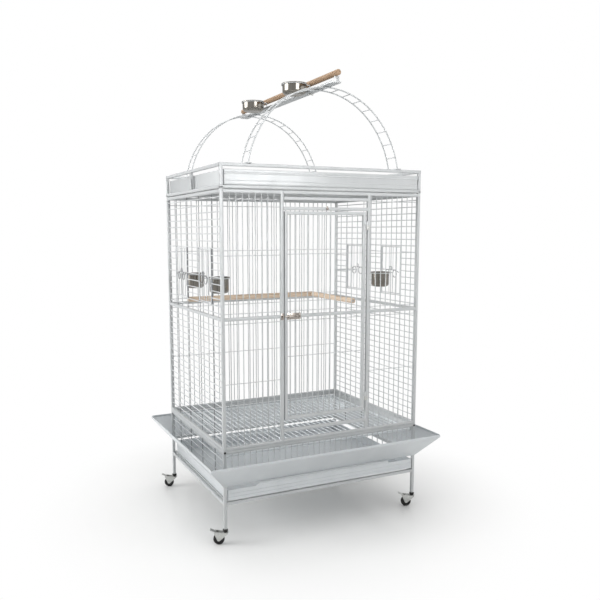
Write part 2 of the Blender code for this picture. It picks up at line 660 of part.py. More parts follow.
# Front door with its hinges and latch
def front_door():
    """Tube frame with a middle rail and upright bars; its origin is on the hinge line."""
    y = -POST_Y
    left, right = DOOR_LEFT + TUBE / 2, DOOR_RIGHT - TUBE / 2
    low, high = DOOR_BOTTOM + TUBE / 2, DOOR_TOP - TUBE / 2
    mid = MID_RAIL_Z + TUBE / 2
    shift = Vector((-HINGE_X, -FRONT, 0))
    stiles = group(*[beam((x, y, DOOR_BOTTOM), (x, y, DOOR_TOP)) for x in (left, right)])
    rails = group(*[beam((left, y, z), (right, y, z)) for z in (low, mid, high)])
    places = stepped(DOOR_LEFT + TUBE + DOOR_FIRST_BAR, DOOR_RIGHT - TUBE, DOOR_BAR_PITCH)
    bars = group(*[rod((x, y, first), (x, y, last)) for x in places
                   for first, last in ((low, mid), (mid + GAP, high))])
    levels = (low + (mid - low) * DOOR_TIE_SHARE, mid - PAIR_OFFSET, mid + PAIR_OFFSET,
              mid + (high - mid) * DOOR_TIE_SHARE)
    wires = group(*[rod((left, y + WIRE_SHIFT, z), (right, y + WIRE_SHIFT, z), WIRE_RADIUS)
                    for z in levels])
    knuckles = group()
    tabs = group()
    for z in (HINGE_LOW_Z, HINGE_HIGH_Z):
        middle, top = z + HINGE_LENGTH / 2 + GAP, z + HINGE_LENGTH
        rod((HINGE_X, FRONT, middle), (HINGE_X, FRONT, top), HINGE_RADIUS, PIN_SIDES)(knuckles)
        box((right, HINGE_X), (FRONT - HINGE_LEAF / 2, FRONT + HINGE_LEAF / 2), (middle, top))(tabs)
    bores = group(*[rod((HINGE_X, FRONT, z), (HINGE_X, FRONT, z + 2 * HINGE_LENGTH),
                        HINGE_BORE_RADIUS, PIN_SIDES) for z in (HINGE_LOW_Z, HINGE_HIGH_Z)])
    meshes = [stiles, rails, bars, wires, knuckles, tabs]
    for mesh in meshes + [bores]:
        bmesh.ops.translate(mesh, verts=mesh.verts, vec=shift)
    return welded("front_door", meshes, COAT, origin=-shift, cut=bores)


def door_hinge(name, z):
    """Lower knuckle, pin and leaf on the jamb, on which the door's knuckle turns."""
    middle = z + HINGE_LENGTH / 2
    knuckle = group(rod((HINGE_X, FRONT, z), (HINGE_X, FRONT, middle), HINGE_RADIUS, PIN_SIDES))
    pin = group(rod((HINGE_X, FRONT, z + EMBED), (HINGE_X, FRONT, z + HINGE_LENGTH),
                    HINGE_PIN_RADIUS, PIN_SIDES))
    leaf = group(box((HINGE_X, JAMB_INNER + HINGE_LEAF_REACH),
                     (FRONT - GAP - HINGE_LEAF, FRONT - GAP), (z, middle)))
    return welded(name, [knuckle, leaf, pin], ZINC)


def latch():
    """Plate with two guides on the door, the bolt that slides in them, and the keeper."""
    plate_right = DOOR_LEFT + TUBE * 0.75 + LATCH_PLATE_LENGTH
    plate_left = plate_right - LATCH_PLATE_LENGTH
    back = FRONT - GAP
    face = back - LATCH_PLATE_THICKNESS
    axis_y = face - GAP - BOLT_RADIUS
    outer = axis_y - BOLT_RADIUS - GAP
    half = BOLT_RADIUS + GAP
    half_height = LATCH_PLATE_HEIGHT / 2
    plate = group(box((plate_left, plate_right), (face, back),
                      (LATCH_Z - half_height, LATCH_Z + half_height)))
    starts = (plate_left + EMBED, plate_right - EMBED - LATCH_GUIDE_WIDTH)
    cheeks = group(*[box((x, x + LATCH_GUIDE_WIDTH), (outer, face + LATCH_PLATE_THICKNESS / 2),
                         (LATCH_Z + side * half, LATCH_Z + side * (half + LATCH_GUIDE_WALL)))
                     for x in starts for side in (-1, 1)])
    bridge = half + LATCH_GUIDE_WALL
    bridges = group(*[box((x, x + LATCH_GUIDE_WIDTH), (outer - LATCH_GUIDE_WALL, outer),
                          (LATCH_Z - bridge, LATCH_Z + bridge)) for x in starts])
    welded("latch_plate", [plate, cheeks, bridges], BRONZE)

    tip = DOOR_LEFT - DOOR_LATCH_CLEARANCE + BOLT_TIP_CLEARANCE
    tail = plate_right - EMBED / 2
    knob_x = (plate_left + plate_right) / 2 + BOLT_TRAVEL / 2
    shaft = group(rod((tip, axis_y, LATCH_Z), (tail, axis_y, LATCH_Z), BOLT_RADIUS, 8))
    neck = group(rod((knob_x, axis_y, LATCH_Z), (knob_x, axis_y - KNOB_REACH, LATCH_Z),
                     BOLT_RADIUS * 0.8, 8))
    knob = group(rod((knob_x, axis_y - KNOB_REACH / 2, LATCH_Z),
                     (knob_x, axis_y - KNOB_REACH, LATCH_Z),
                     KNOB_RADIUS * 0.8, PIN_SIDES, KNOB_RADIUS))
    welded("latch_bolt", [shaft, neck, knob], BRONZE)

    jamb = (-JAMB_OUTER, -JAMB_INNER)
    foot = group(box(jamb, (face, back), (LATCH_Z - half_height, LATCH_Z + half_height)))
    walls = group(*[box(jamb, (outer, face + LATCH_PLATE_THICKNESS / 2),
                        (LATCH_Z + side * half, LATCH_Z + side * bridge)) for side in (-1, 1)])
    front = group(box(jamb, (outer - LATCH_GUIDE_WALL, outer),
                      (LATCH_Z - bridge, LATCH_Z + bridge)))
    welded("latch_keeper", [foot, walls, front], BRONZE)


# Feeder doors and cups
def feeder_door(name, side, facing):
    """Wire door in a side bay with its cup ring; its origin is on the hinge line."""
    near, far = SIDE_WIRE_INNER_Y, SIDE_WIRE_OUTER_Y
    inset = 2 * FRAME_WIRE_RADIUS + FEEDER_CLEARANCE
    free, hinge = facing * (near + inset), facing * (far - inset)
    low, high = bay_rows()[BAY_FIRST_BAR] + inset, bay_rows()[BAY_LAST_BAR] - inset
    x = side * POST_X
    middle = (free + hinge) / 2
    uprights = group(*[rod((x, y, low - FRAME_WIRE_RADIUS), (x, y, high + FRAME_WIRE_RADIUS),
                           FRAME_WIRE_RADIUS) for y in (free, hinge)])
    ends = group(*[rod((x, free - facing * LAP, z), (x, hinge + facing * LAP, z))
                   for z in (low, high)])
    step = (hinge - free) / (FEEDER_BARS + 1)
    places = [free + step * (number + 1) for number in range(FEEDER_BARS)]
    bars = group(*[rod((x, y, low - LAP), (x, y, high + LAP), WIRE_RADIUS) for y in places])
    ring_z = cup_bottom() + CUP_HEIGHT - RING_DROP - BAR_RADIUS
    ring_x = side * (POST_X - CUP_REACH)
    holder = group(ring((ring_x, middle, ring_z), RING_RADIUS, BAR_RADIUS))
    across = math.sqrt(RING_RADIUS ** 2 - (step / 2) ** 2)
    arms = group(*[rod((x + side * LAP, middle + shift, ring_z),
                       (ring_x + side * across, middle + shift, ring_z))
                   for shift in (-step / 2, step / 2)])
    catch_x = side * (POST_X + 2 * BAR_RADIUS)
    catch_z = (low + high) / 2
    stem = group(rod((x - side * LAP, free, catch_z), (catch_x + side * BAR_RADIUS, free, catch_z)))
    catch = group(rod((catch_x, free + step / 4, catch_z),
                      (catch_x, facing * (near - inset), catch_z), WIRE_RADIUS))
    meshes = [uprights, ends, bars, holder, arms, stem, catch]
    origin = Vector((x, hinge, 0))
    for mesh in meshes:
        bmesh.ops.translate(mesh, verts=mesh.verts, vec=-origin)
    return welded(name, meshes, COAT, origin)


def cup(name, place, radius, height, rounding):
    """Pressed steel cup with a rolled rim and a rounded bottom edge."""
    inner, floor = radius - CUP_WALL, CUP_WALL
    arc = [math.radians(angle) for angle in (90, 45, 0)]
    bend = [(rounding * math.cos(angle) - rounding, rounding - rounding * math.sin(angle)) for angle in arc]
    outside = [(radius + out, up) for out, up in reversed(bend)]
    inside = [(inner + out, floor + up) for out, up in bend]
    rim = [(inner, height), (radius + CUP_RIM, height), (radius + CUP_RIM, height - RING_DROP + GAP),
           (radius, height - RING_DROP + GAP)]
    profile = rim + outside + [(0, 0)]
    return turned(name, [(0, floor)] + inside + profile, STEEL, place)


def side_cup(name, side, facing):
    """Cup that hangs in a feeder door's ring."""
    y = facing * (SIDE_WIRE_INNER_Y + SIDE_WIRE_OUTER_Y) / 2
    place = (side * (POST_X - CUP_REACH), y, cup_bottom())
    return cup(name, place, CUP_RADIUS, CUP_HEIGHT, CUP_HEIGHT / 5)


# Perches in the body
def low_perches():
    """Dowel from the left wall and the one that joins it at a right angle."""
    start = -POST_X + WIRE_SHIFT + WIRE_RADIUS + GAP
    along = group(rod((start, LONG_PERCH_Y, LOW_PERCH_Z),
                      (LONG_PERCH_RIGHT, LONG_PERCH_Y, LOW_PERCH_Z), PERCH_RADIUS, PERCH_SIDES))
    piece("low_perch_long", along, WOOD)
    back = LONG_PERCH_Y - PERCH_RADIUS - GAP
    across = group(rod((CROSS_PERCH_X, back, LOW_PERCH_Z),
                       (CROSS_PERCH_X, -CROSS_PERCH_FRONT, LOW_PERCH_Z), PERCH_RADIUS, PERCH_SIDES))
    piece("low_perch_cross", across, WOOD)


# Play top
def play_frame(name, z, extra):
    """Rectangle of square tube at one height, with its posts or feet."""
    middle = z + TUBE / 2
    long_rails = group(*[beam((-CAGE_WIDTH / 2, y, middle), (CAGE_WIDTH / 2, y, middle))
                         for y in (-POST_Y, POST_Y)])
    short_rails = group(*[beam((x, -POST_Y, middle), (x, POST_Y, middle))
                          for x in (-POST_X, POST_X)])
    return welded(name, [long_rails, short_rails, extra], COAT)


def play_top():
    """Lower frame on short feet, rim frame on posts, and the tray between them."""
    corners = [(x, y) for x in (-POST_X, POST_X) for y in (-POST_Y, POST_Y)]
    base = PLAY_FRAME_Z + TUBE / 2
    feet = group(*[beam((x, y, BODY_TOP + GAP), (x, y, base)) for x, y in corners])
    play_frame("play_top_frame", PLAY_FRAME_Z, feet)
    seat = PLAY_FRAME_Z + TUBE + GAP
    posts = group(*[beam((x, y, seat), (x, y, PLAY_RIM_Z + TUBE / 2))
                    for x, y in corners + [(-POST_X, 0), (POST_X, 0)]])
    play_frame("play_top_rim", PLAY_RIM_Z, posts)
    half = INNER_X - TRAY_SIDE_CLEARANCE
    tray = group(pan((-half, half), (FRONT, POST_Y), (seat, seat + PLAY_TRAY_HEIGHT), SHEET))
    piece("play_top_tray", tray, SHEET_COAT)


def arch_point(angle, y):
    """Point of an arch wire, on an ellipse that rises from the rim frame."""
    across = ARCH_HALF_SPAN / math.sqrt(1 - (ARCH_SINK / (ARCH_RISE + ARCH_SINK)) ** 2)
    centre = ARCH_FOOT_Z - ARCH_SINK
    return (across * math.cos(angle), y, centre + (ARCH_RISE + ARCH_SINK) * math.sin(angle))


def ladder_arch(name, y):
    """Two arched wires tied by rungs, on foot plates that sit on the rim."""
    start = math.asin(ARCH_SINK / (ARCH_RISE + ARCH_SINK))
    angles = [start + (math.pi - 2 * start) * step / ARCH_STEPS for step in range(ARCH_STEPS + 1)]
    lines = (y, y + ARCH_WIRE_SPACING)
    wires = group()
    for line in lines:
        bent_wire([arch_point(angle, line) for angle in angles], ARCH_WIRE_RADIUS)(wires)
    first = start + ARCH_FIRST_RUNG
    turn = (math.pi - 2 * first) / (ARCH_RUNGS - 1)
    spots = [first + turn * number for number in range(ARCH_RUNGS)]
    rungs = group(*[rod(arch_point(angle, lines[0]), arch_point(angle, lines[1]), ARCH_WIRE_RADIUS * 0.7)
                    for angle in spots])
    middle = (lines[0] + lines[1]) / 2
    feet = group(*[box((x - FOOT_WIDTH / 2, x + FOOT_WIDTH / 2),
                       (middle - FOOT_LENGTH / 2, middle + FOOT_LENGTH / 2),
                       (ARCH_FOOT_Z, ARCH_FOOT_Z + FOOT_THICKNESS))
                   for x in (-ARCH_HALF_SPAN, ARCH_HALF_SPAN)])
    bmesh.ops.translate(wires, verts=wires.verts, vec=(0, 0, FOOT_THICKNESS / 3))
    return welded(name, [wires, feet, rungs], COAT)


def top_perch():
    """Dowel over the arches, on the tabs of a lipped strip that lies across them."""
    y = (-TOP_PERCH_FRONT, TOP_PERCH_BACK)
    dowel = group(rod((0, y[0], TOP_PERCH_Z), (0, y[1], TOP_PERCH_Z), PERCH_RADIUS, PERCH_SIDES))
    piece("top_perch", dowel, WOOD)
    ends = (y[0] + STRIP_SETBACK, y[1] - STRIP_SETBACK)
    z = STRIP_Z + FOOT_THICKNESS / 3
    floor = group(box((-STRIP_HALF_WIDTH, STRIP_HALF_WIDTH), ends, (z, z + STRIP_THICKNESS)))
    inner = STRIP_HALF_WIDTH - STRIP_THICKNESS
    lips = group(*[box((side * STRIP_HALF_WIDTH, side * inner), ends, (z, z + STRIP_LIP))
                   for side in (-1, 1)])
    top = TOP_PERCH_Z - PERCH_RADIUS - GAP
    across = (-TAB_HALF_WIDTH, TAB_HALF_WIDTH)
    tabs = group(box(across, (ends[0], ends[0] + TAB_THICKNESS), (z, top)),
                 box(across, (ends[1] - TAB_THICKNESS, ends[1]), (z, top)))
    welded("perch_strip", [floor, lips, tabs], SHEET_COAT)


def top_cup_set(name, y):
    """Ring on two arms bolted to the strip, and the cup that hangs in it."""
    z = STRIP_Z + FOOT_THICKNESS / 3 + STRIP_THICKNESS + GAP
    ring_z = TOP_PERCH_Z - PERCH_RADIUS
    inner = STRIP_HALF_WIDTH - STRIP_THICKNESS - GAP
    step = TOP_RING_RADIUS / 3
    half = step + 2 * BAR_RADIUS
    plate = group(box((-inner, inner), (y - half, y + half), (z, z + HOLDER_PLATE)))
    loop = group(ring((-TOP_CUP_X, y, ring_z), TOP_RING_RADIUS, BAR_RADIUS))
    across = math.sqrt(TOP_RING_RADIUS ** 2 - step ** 2)
    edge = -TOP_CUP_X + across
    root = -inner + 2 * BAR_RADIUS
    uprights = group(*[rod((root, y + shift, z + HOLDER_PLATE / 2), (root, y + shift, ring_z))
                       for shift in (-step, step)])
    arms = group(*[rod((root, y + shift, ring_z), (edge, y + shift, ring_z))
                   for shift in (-step, step)])
    welded(f"top_cup_holder_{name}", [plate, loop, uprights, arms], COAT)
    bottom = ring_z + BAR_RADIUS + RING_DROP - TOP_CUP_HEIGHT
    cup(f"top_cup_{name}", (-TOP_CUP_X, y, bottom), TOP_CUP_RADIUS, TOP_CUP_HEIGHT,
        TOP_CUP_HEIGHT / 2.5)


stand_side("stand_left_frame", -1)
stand_side("stand_right_frame", 1)
stand_panel("stand_front_panel", -1)
stand_panel("stand_rear_panel", 1)
stand_rail("stand_front_rail", -1)
stand_rail("stand_rear_rail", 1)
seed_guard("seed_guard_front", CAGE_WIDTH / 2, CAGE_DEPTH / 2, 0)
seed_guard("seed_guard_right", CAGE_DEPTH / 2, CAGE_WIDTH / 2, math.pi / 2)
seed_guard("seed_guard_rear", CAGE_WIDTH / 2, CAGE_DEPTH / 2, math.pi)
seed_guard("seed_guard_left", CAGE_DEPTH / 2, CAGE_WIDTH / 2, -math.pi / 2)
bottom_tray()
grate()
CORNERS = (("front_left", -1, -1), ("front_right", 1, -1), ("rear_left", -1, 1), ("rear_right", 1, 1))
for corner, cx, cy in CORNERS:
    caster(corner, cx * POST_X, cy * POST_Y)
body_side("body_left_wall", -1)
body_side("body_right_wall", 1)
body_rear()
front_section("front_left_panel", -1, BAR_PITCH)
front_section("front_right_panel", 1, RIGHT_PANEL_PITCH)
between_jambs("front_sill", (BODY_BOTTOM + TUBE / 2, SILL_RAIL_Z + TUBE / 2))
between_jambs("front_header",
              (HEADER_LOW_Z + TUBE / 2, HEADER_HIGH_Z + TUBE / 2, BODY_TOP - TUBE / 2))
roof_grille()
front_door()
door_hinge("door_hinge_lower", HINGE_LOW_Z)
door_hinge("door_hinge_upper", HINGE_HIGH_Z)
latch()
for corner, cx, cy in CORNERS:
    feeder_door(f"feeder_door_{corner}", cx, cy)
side_cup("side_cup_front_left", -1, -1)
side_cup("side_cup_rear_left", -1, 1)
side_cup("side_cup_front_right", 1, -1)
low_perches()
play_top()
ladder_arch("front_arch", -POST_Y)
ladder_arch("rear_arch", POST_Y)
top_perch()
top_cup_set("front", -TOP_CUP_FRONT_Y)
top_cup_set("rear", TOP_CUP_BACK_Y)
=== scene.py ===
# Looks of a play top parrot cage: powder-coated tube and wire, steel cups, wooden perches and
# small casters, shown on a pale studio floor. Metres, +Z up, the front faces -Y.
import math

import bmesh
import bpy
from mathutils import Matrix, Vector


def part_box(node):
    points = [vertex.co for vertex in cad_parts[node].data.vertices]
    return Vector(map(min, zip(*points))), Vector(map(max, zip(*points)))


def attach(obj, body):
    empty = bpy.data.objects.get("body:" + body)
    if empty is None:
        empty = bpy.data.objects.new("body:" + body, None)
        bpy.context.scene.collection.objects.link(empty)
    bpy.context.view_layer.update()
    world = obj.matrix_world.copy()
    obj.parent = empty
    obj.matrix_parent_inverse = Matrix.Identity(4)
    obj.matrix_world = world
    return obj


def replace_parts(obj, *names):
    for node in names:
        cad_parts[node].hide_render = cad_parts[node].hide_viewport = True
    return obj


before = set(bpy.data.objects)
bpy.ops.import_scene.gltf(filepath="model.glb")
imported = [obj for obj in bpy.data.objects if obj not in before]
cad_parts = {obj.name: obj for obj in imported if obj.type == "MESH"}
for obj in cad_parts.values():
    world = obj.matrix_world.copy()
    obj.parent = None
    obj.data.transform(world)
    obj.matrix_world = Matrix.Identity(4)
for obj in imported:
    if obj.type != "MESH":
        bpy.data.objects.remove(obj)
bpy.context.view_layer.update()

# Camera
# The photographer stood in front of the left corner at chest height, about three metres away,
# and shifted the lens a little up and to the right.
PHOTO_WIDTH = 600
FOCAL_PIXELS = 683.6
OPTICAL_X, OPTICAL_Y = 276.5, 319.9
SENSOR_MM = 36
CAMERA_PLACE = (-1.3641, -2.8265, 1.2347)
CAMERA_TURN, CAMERA_TILT, CAMERA_ROLL = 25.091, 7.325, -0.182


def add_object(name, data):
    """Object that shows some data in the scene."""
    made = bpy.data.objects.new(name, data)
    bpy.context.collection.objects.link(made)
    return made


lens = bpy.data.cameras.new("photo_camera")
lens.sensor_width = SENSOR_MM
lens.lens = FOCAL_PIXELS / PHOTO_WIDTH * SENSOR_MM
lens.shift_x = (PHOTO_WIDTH / 2 - OPTICAL_X) / PHOTO_WIDTH
lens.shift_y = (OPTICAL_Y - PHOTO_WIDTH / 2) / PHOTO_WIDTH
camera = add_object("photo_camera", lens)
camera.matrix_world = (Matrix.Translation(CAMERA_PLACE)
                       @ Matrix.Rotation(math.radians(-CAMERA_TURN), 4, "Z")
                       @ Matrix.Rotation(math.radians(90 - CAMERA_TILT), 4, "X")
                       @ Matrix.Rotation(math.radians(CAMERA_ROLL), 4, "Z"))
bpy.context.scene.camera = camera
bpy.context.scene.view_settings.view_transform = "Standard"


# Studio floor and background
# A pale sweep that keeps the soft grey shadow of the cage near its casters and runs out to
# plain white where the camera sees further.
FLOOR_HALF = 14.0
SHADOW_NEAR, SHADOW_FAR = 0.55, 1.20
AMBIENT = 0.61
PURE_WHITE = (1, 1, 1, 1)


def linear(code):
    """Linear colour of an sRGB hex value."""
    parts = [int(code[place:place + 2], 16) / 255 for place in (1, 3, 5)]
    return (*[p / 12.92 if p <= 0.04045 else ((p + 0.055) / 1.055) ** 2.4 for p in parts], 1)


def add_node(tree, kind, inputs=None, **settings):
    """Adds a node; inputs are values, or nodes or sockets to link."""
    node = tree.nodes.new("ShaderNode" + kind)
    for key, value in settings.items():
        setattr(node, key, value)
    for key, value in (inputs or {}).items():
        if isinstance(value, bpy.types.Node):
            value = value.outputs[0]
        if isinstance(value, bpy.types.NodeSocket):
            tree.links.new(value, node.inputs[key])
        else:
            node.inputs[key].default_value = value
    return node


def mesh_data(name, mesh):
    """Data for an object from a finished mesh."""
    data = bpy.data.meshes.new(name)
    mesh.to_mesh(data)
    mesh.free()
    return data


def new_material(name):
    """Empty material, its node tree and its object coordinates."""
    made = bpy.data.materials.new(name)
    made.use_nodes = True
    tree = made.node_tree
    tree.nodes.clear()
    return made, tree, add_node(tree, "TexCoord").outputs["Object"]


sweep, tree, place = new_material("white_paper_sweep")
reach = add_node(tree, "VectorMath", {0: place}, operation="LENGTH").outputs["Value"]
fade = add_node(tree, "MapRange", {0: reach, 1: SHADOW_NEAR, 2: SHADOW_FAR},
                interpolation_type="SMOOTHSTEP")
rays = add_node(tree, "LightPath").outputs
seen = add_node(tree, "Math", {0: fade, 1: rays["Is Camera Ray"]}, operation="MULTIPLY")
paper = add_node(tree, "BsdfPrincipled", {"Base Color": linear("#f1f1f0"), "Roughness": 0.14})
white = add_node(tree, "Emission", {"Color": PURE_WHITE, "Strength": 1.0})
mixed = add_node(tree, "MixShader", {0: seen, 1: paper, 2: white})
add_node(tree, "OutputMaterial", {"Surface": mixed})

ground = bmesh.new()
bmesh.ops.create_grid(ground, x_segments=1, y_segments=1, size=FLOOR_HALF)
data = mesh_data("studio_floor", ground)
data.materials.append(sweep)
add_object("studio_floor", data)

world = bpy.data.worlds.new("studio_air")
bpy.context.scene.world = world
world.use_nodes = True
tree = world.node_tree
tree.nodes.clear()
rays = add_node(tree, "LightPath").outputs
clear = add_node(tree, "Math", {0: rays["Is Camera Ray"], 1: rays["Is Transmission Ray"]},
                 operation="MAXIMUM")
strength = add_node(tree, "MapRange", {0: clear, 3: AMBIENT, 4: 1.0})
sky = add_node(tree, "Background", {"Color": PURE_WHITE, "Strength": strength})
add_node(tree, "OutputWorld", {"Surface": sky})


# Lamps
# Four soft boxes: a large one overhead, a narrow one in front that lights the roof tray, one
# at the left rear that whitens the faces there, and a weak fill from the right.
SOFT_BOXES = {
    "overhead_box": ((0.1, 0.2, 5.4), (0, 0, 0.8), 6.5, 178, 180),
    "front_box": ((0.45, -4.2, 2.3), (0, 0, 1.95), 2.4, 8.4, 46),
    "left_rear_box": ((-2.3, 0.6, 1.5), (-0.45, 0, 1.0), 2.0, 12, 50),
    "right_fill_box": ((2.9, -2.0, 1.6), (0, 0, 0.9), 2.2, 12, 180),
}
for name, (spot, aim, size, watts, spread) in SOFT_BOXES.items():
    lamp = bpy.data.lights.new(name, "AREA")
    lamp.shape = "SQUARE"
    lamp.size = size
    lamp.energy = watts
    lamp.spread = math.radians(spread)
    soft_box = add_object(name, lamp)
    soft_box.location = spot
    soft_box.rotation_euler = (Vector(aim) - Vector(spot)).to_track_quat("-Z", "Y").to_euler()
    soft_box.visible_camera = False


# Powder coat
# Mild steel sprayed with silver-grey polyester powder and baked: a finely pebbled skin with a soft
# sheen and faint flake. Wires take a paler copy of the coat than the tube, as painted light, and
# inner wires and catches a darker copy, as painted shade.
PEBBLE_SIZE = 0.0011
FLAKE_SIZE = 0.0016
FLAKE_GLINT = 0.06
CLOUD_SIZE = 0.070


def noise(tree, place, size, detail, distortion=0.0):
    """Noise pattern with spots of about one size in metres."""
    return add_node(tree, "TexNoise", {"Vector": place, "Scale": 1 / size, "Detail": detail,
                                       "Distortion": distortion})


def blend(tree, share, first, second):
    """Mix of two colours by a share."""
    return add_node(tree, "Mix", {0: share, 6: first, 7: second}, data_type="RGBA").outputs[2]


def relief(tree, height, strength, distance):
    """Bump made from a pattern."""
    return add_node(tree, "Bump", {"Height": height, "Strength": strength, "Distance": distance})


def add_skin(tree, inputs):
    """Ends a material with one surface."""
    add_node(tree, "OutputMaterial", {"Surface": add_node(tree, "BsdfPrincipled", inputs)})


def powder_coat(name, pale, deep, roughness):
    """Baked powder: pebbled skin, faint flake, and slow clouds where the coat lies thicker."""
    coat, tree, place = new_material(name)
    cloud = noise(tree, place, CLOUD_SIZE, 3.0)
    flake = add_node(tree, "TexVoronoi", {"Vector": place, "Scale": 1 / FLAKE_SIZE}).outputs["Color"]
    glint = add_node(tree, "MapRange", {0: flake, 3: -FLAKE_GLINT, 4: FLAKE_GLINT})
    tone = add_node(tree, "Math", {0: cloud, 1: glint}, operation="ADD")
    matt = add_node(tree, "MapRange", {0: cloud, 3: roughness - 0.05, 4: roughness + 0.06})
    pebble = noise(tree, place, PEBBLE_SIZE, 1.0)
    add_skin(tree, {"Base Color": blend(tree, tone, linear(pale), linear(deep)), "Roughness": matt,
                    "Normal": relief(tree, pebble, 0.15, PEBBLE_SIZE / 10), "Metallic": 0.40,
                    "IOR": 1.5, "Coat Weight": 0.10, "Coat Roughness": 0.36})
    return coat


tube_coat = powder_coat("silver_powder_coat_on_tube", "#c7c9ca", "#b7babb", 0.40)
# Paler copy of the coat for wires: painted light.
painted_light_wire_coat = powder_coat("silver_powder_coat_on_wire_painted_light", "#d6d8d9", "#c7c9cb", 0.42)
# Darker copy of the coat for inner wires and catches: painted shade.
painted_shade_coat = powder_coat("silver_powder_coat_painted_shade", "#919395", "#828486", 0.42)
# Paler copy of the coat for the floor grate: painted light.
painted_light_grate_coat = powder_coat("silver_powder_coat_on_grate_painted_light", "#eaeef0", "#dfe3e5", 0.45)


# Stand
# End frames of 12.7 mm square tube with level bars let in and four upright wires spot-welded
# inside, joined by barred panels. One angle on each carries the tray, another the grate.
SIDES = ((-1, "left"), (1, "right"))
rail_low, rail_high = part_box("stand_front_rail")
left_low, left_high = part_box("stand_left_frame")
TUBE = rail_high.z - rail_low.z
HALF_TUBE = TUBE / 2
CORNER = 0.0016
BAR = 0.0020
WIRE = 0.0015
BAR_PITCH = 0.0265
BITE = 0.0002
WIRE_SHIFT = BAR + WIRE - BITE
WELD, BEAD = 0.0026, 0.0017
EMBED = 0.002
GAP = 0.0003
PRESSED_EDGE = 0.0004
ANGLE_SHEET, LEDGE_SHEET = 0.0015, 0.002
RUNNER_REACH = 0.012
LEDGE_BITE = 0.0005
POST_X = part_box("stand_right_frame")[1].x - HALF_TUBE
FRONT_Y = left_low.y + HALF_TUBE
REAR_Y = left_high.y - HALF_TUBE
MIDDLE_Y = (FRONT_Y + REAR_Y) / 2
INSIDE_X = POST_X - HALF_TUBE
INSIDE_FRONT = FRONT_Y + HALF_TUBE
INSIDE_REAR = REAR_Y - HALF_TUBE
LET_FRONT, LET_REAR = INSIDE_FRONT - EMBED, INSIDE_REAR + EMBED
LET_IN = (LET_FRONT, LET_REAR)
BAY_NEAR, BAY_FAR = 0.078, 0.233
SIDE_WIRES = [MIDDLE_Y + shift for shift in (-BAY_FAR, -BAY_NEAR, BAY_NEAR, BAY_FAR)]
LOW_RAIL = (rail_low.z + rail_high.z) / 2
GUARD_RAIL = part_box("stand_front_panel")[0].z + HALF_TUBE
TOP_RAIL = left_high.z - HALF_TUBE
# Finishes of a tube-coat piece: the coat, its paler copy as painted light, its darker copy as painted shade.
ON_TUBE, ON_WIRE, ON_PAINTED_SHADE = 0, 1, 2


def about(middle, half):
    """Two values at one distance from a middle."""
    return middle - half, middle + half


def line_ends(x, y, z):
    """Ends of a line along the one axis that has a pair of values."""
    return [Vector([value if isinstance(value, (int, float)) else value[end] for value in (x, y, z)])
            for end in (0, 1)]


def block_edges(mesh, middle, size):
    """Adds a block and gives its edges."""
    made = bmesh.ops.create_cube(mesh, size=1, matrix=Matrix.LocRotScale(middle, None, size))
    return {edge for vertex in made["verts"] for edge in vertex.link_edges}


def edges_along(edges, axis, length):
    """Those edges of a block that run along one axis."""
    return [edge for edge in edges
            if abs(edge.verts[0].co[axis] - edge.verts[1].co[axis]) > length / 2]


def soften(mesh, geom, offset, segments, affect="EDGES"):
    """Rounds some edges or corners."""
    bmesh.ops.bevel(mesh, geom=geom, offset=offset, affect=affect, segments=segments, profile=0.5,
                    material=-1)


def square_tube(mesh, x, y, z, size=TUBE, corner=CORNER):
    """Square tube with rounded corners along the axis that has a pair of values."""
    start, end = line_ends(x, y, z)
    along = end - start
    axis = max(range(3), key=lambda index: abs(along[index]))
    scale = Vector((size, size, size))
    scale[axis] = abs(along[axis])
    edges = block_edges(mesh, (start + end) / 2, scale)
    soften(mesh, edges_along(edges, axis, scale[axis]), corner, 3)


def cross_tube(mesh, y, z, half=INSIDE_X - GAP):
    """Square tube from side to side."""
    square_tube(mesh, (-half, half), y, z)


def coat_faces(made, finish):
    """Gives the faces of a new shape one of its piece's finishes."""
    for face in {face for vertex in made["verts"] for face in vertex.link_faces}:
        face.material_index = finish


def facing(spot, direction):
    """Matrix that puts a shape at a spot, with its Z axis in a direction."""
    turn = Vector(direction).to_track_quat("Z", "Y").to_matrix().to_4x4()
    return Matrix.Translation(spot) @ turn


def round_bar(mesh, x, y, z, radius=BAR, sides=10, finish=ON_WIRE):
    """Round wire or pin in the same way."""
    start, end = line_ends(x, y, z)
    coat_faces(bmesh.ops.create_cone(
        mesh, cap_ends=True, segments=sides, radius1=radius, radius2=radius,
        depth=(end - start).length, matrix=facing((start + end) / 2, end - start)), finish)


def weld_spot(mesh, spot, size=WELD):
    """Blob of weld where two wires cross."""
    coat_faces(bmesh.ops.create_icosphere(mesh, subdivisions=1, radius=size,
                                          matrix=Matrix.Translation(spot)), ON_WIRE)


def rail_beads(mesh, x, y, z, low=0, high=math.inf):
    """Rippled beads of weld below and above a rail at its joint with a post."""
    for level in about(z, HALF_TUBE):
        if low < level < high:
            start, end = line_ends(x, y, level)
            count = max(2, round((end - start).length / BEAD))
            for step in range(count):
                weld_spot(mesh, start.lerp(end, (step + 0.5) / count), BEAD)


def spaced(low, high, pitch=BAR_PITCH):
    """Even places between two rails, about one pitch apart."""
    count = max(1, round((high - low) / pitch) - 1)
    step = (high - low) / (count + 1)
    return [low + step * (number + 1) for number in range(count)]


def plate(mesh, x, y, z, edge=PRESSED_EDGE):
    """Flat plate or block between two values on each axis, with softened edges."""
    spans = [sorted(span) for span in (x, y, z)]
    middle = Vector([(low + high) / 2 for low, high in spans])
    size = Vector([high - low for low, high in spans])
    soften(mesh, list(block_edges(mesh, middle, size)), min(edge, min(size) / 3), 2)


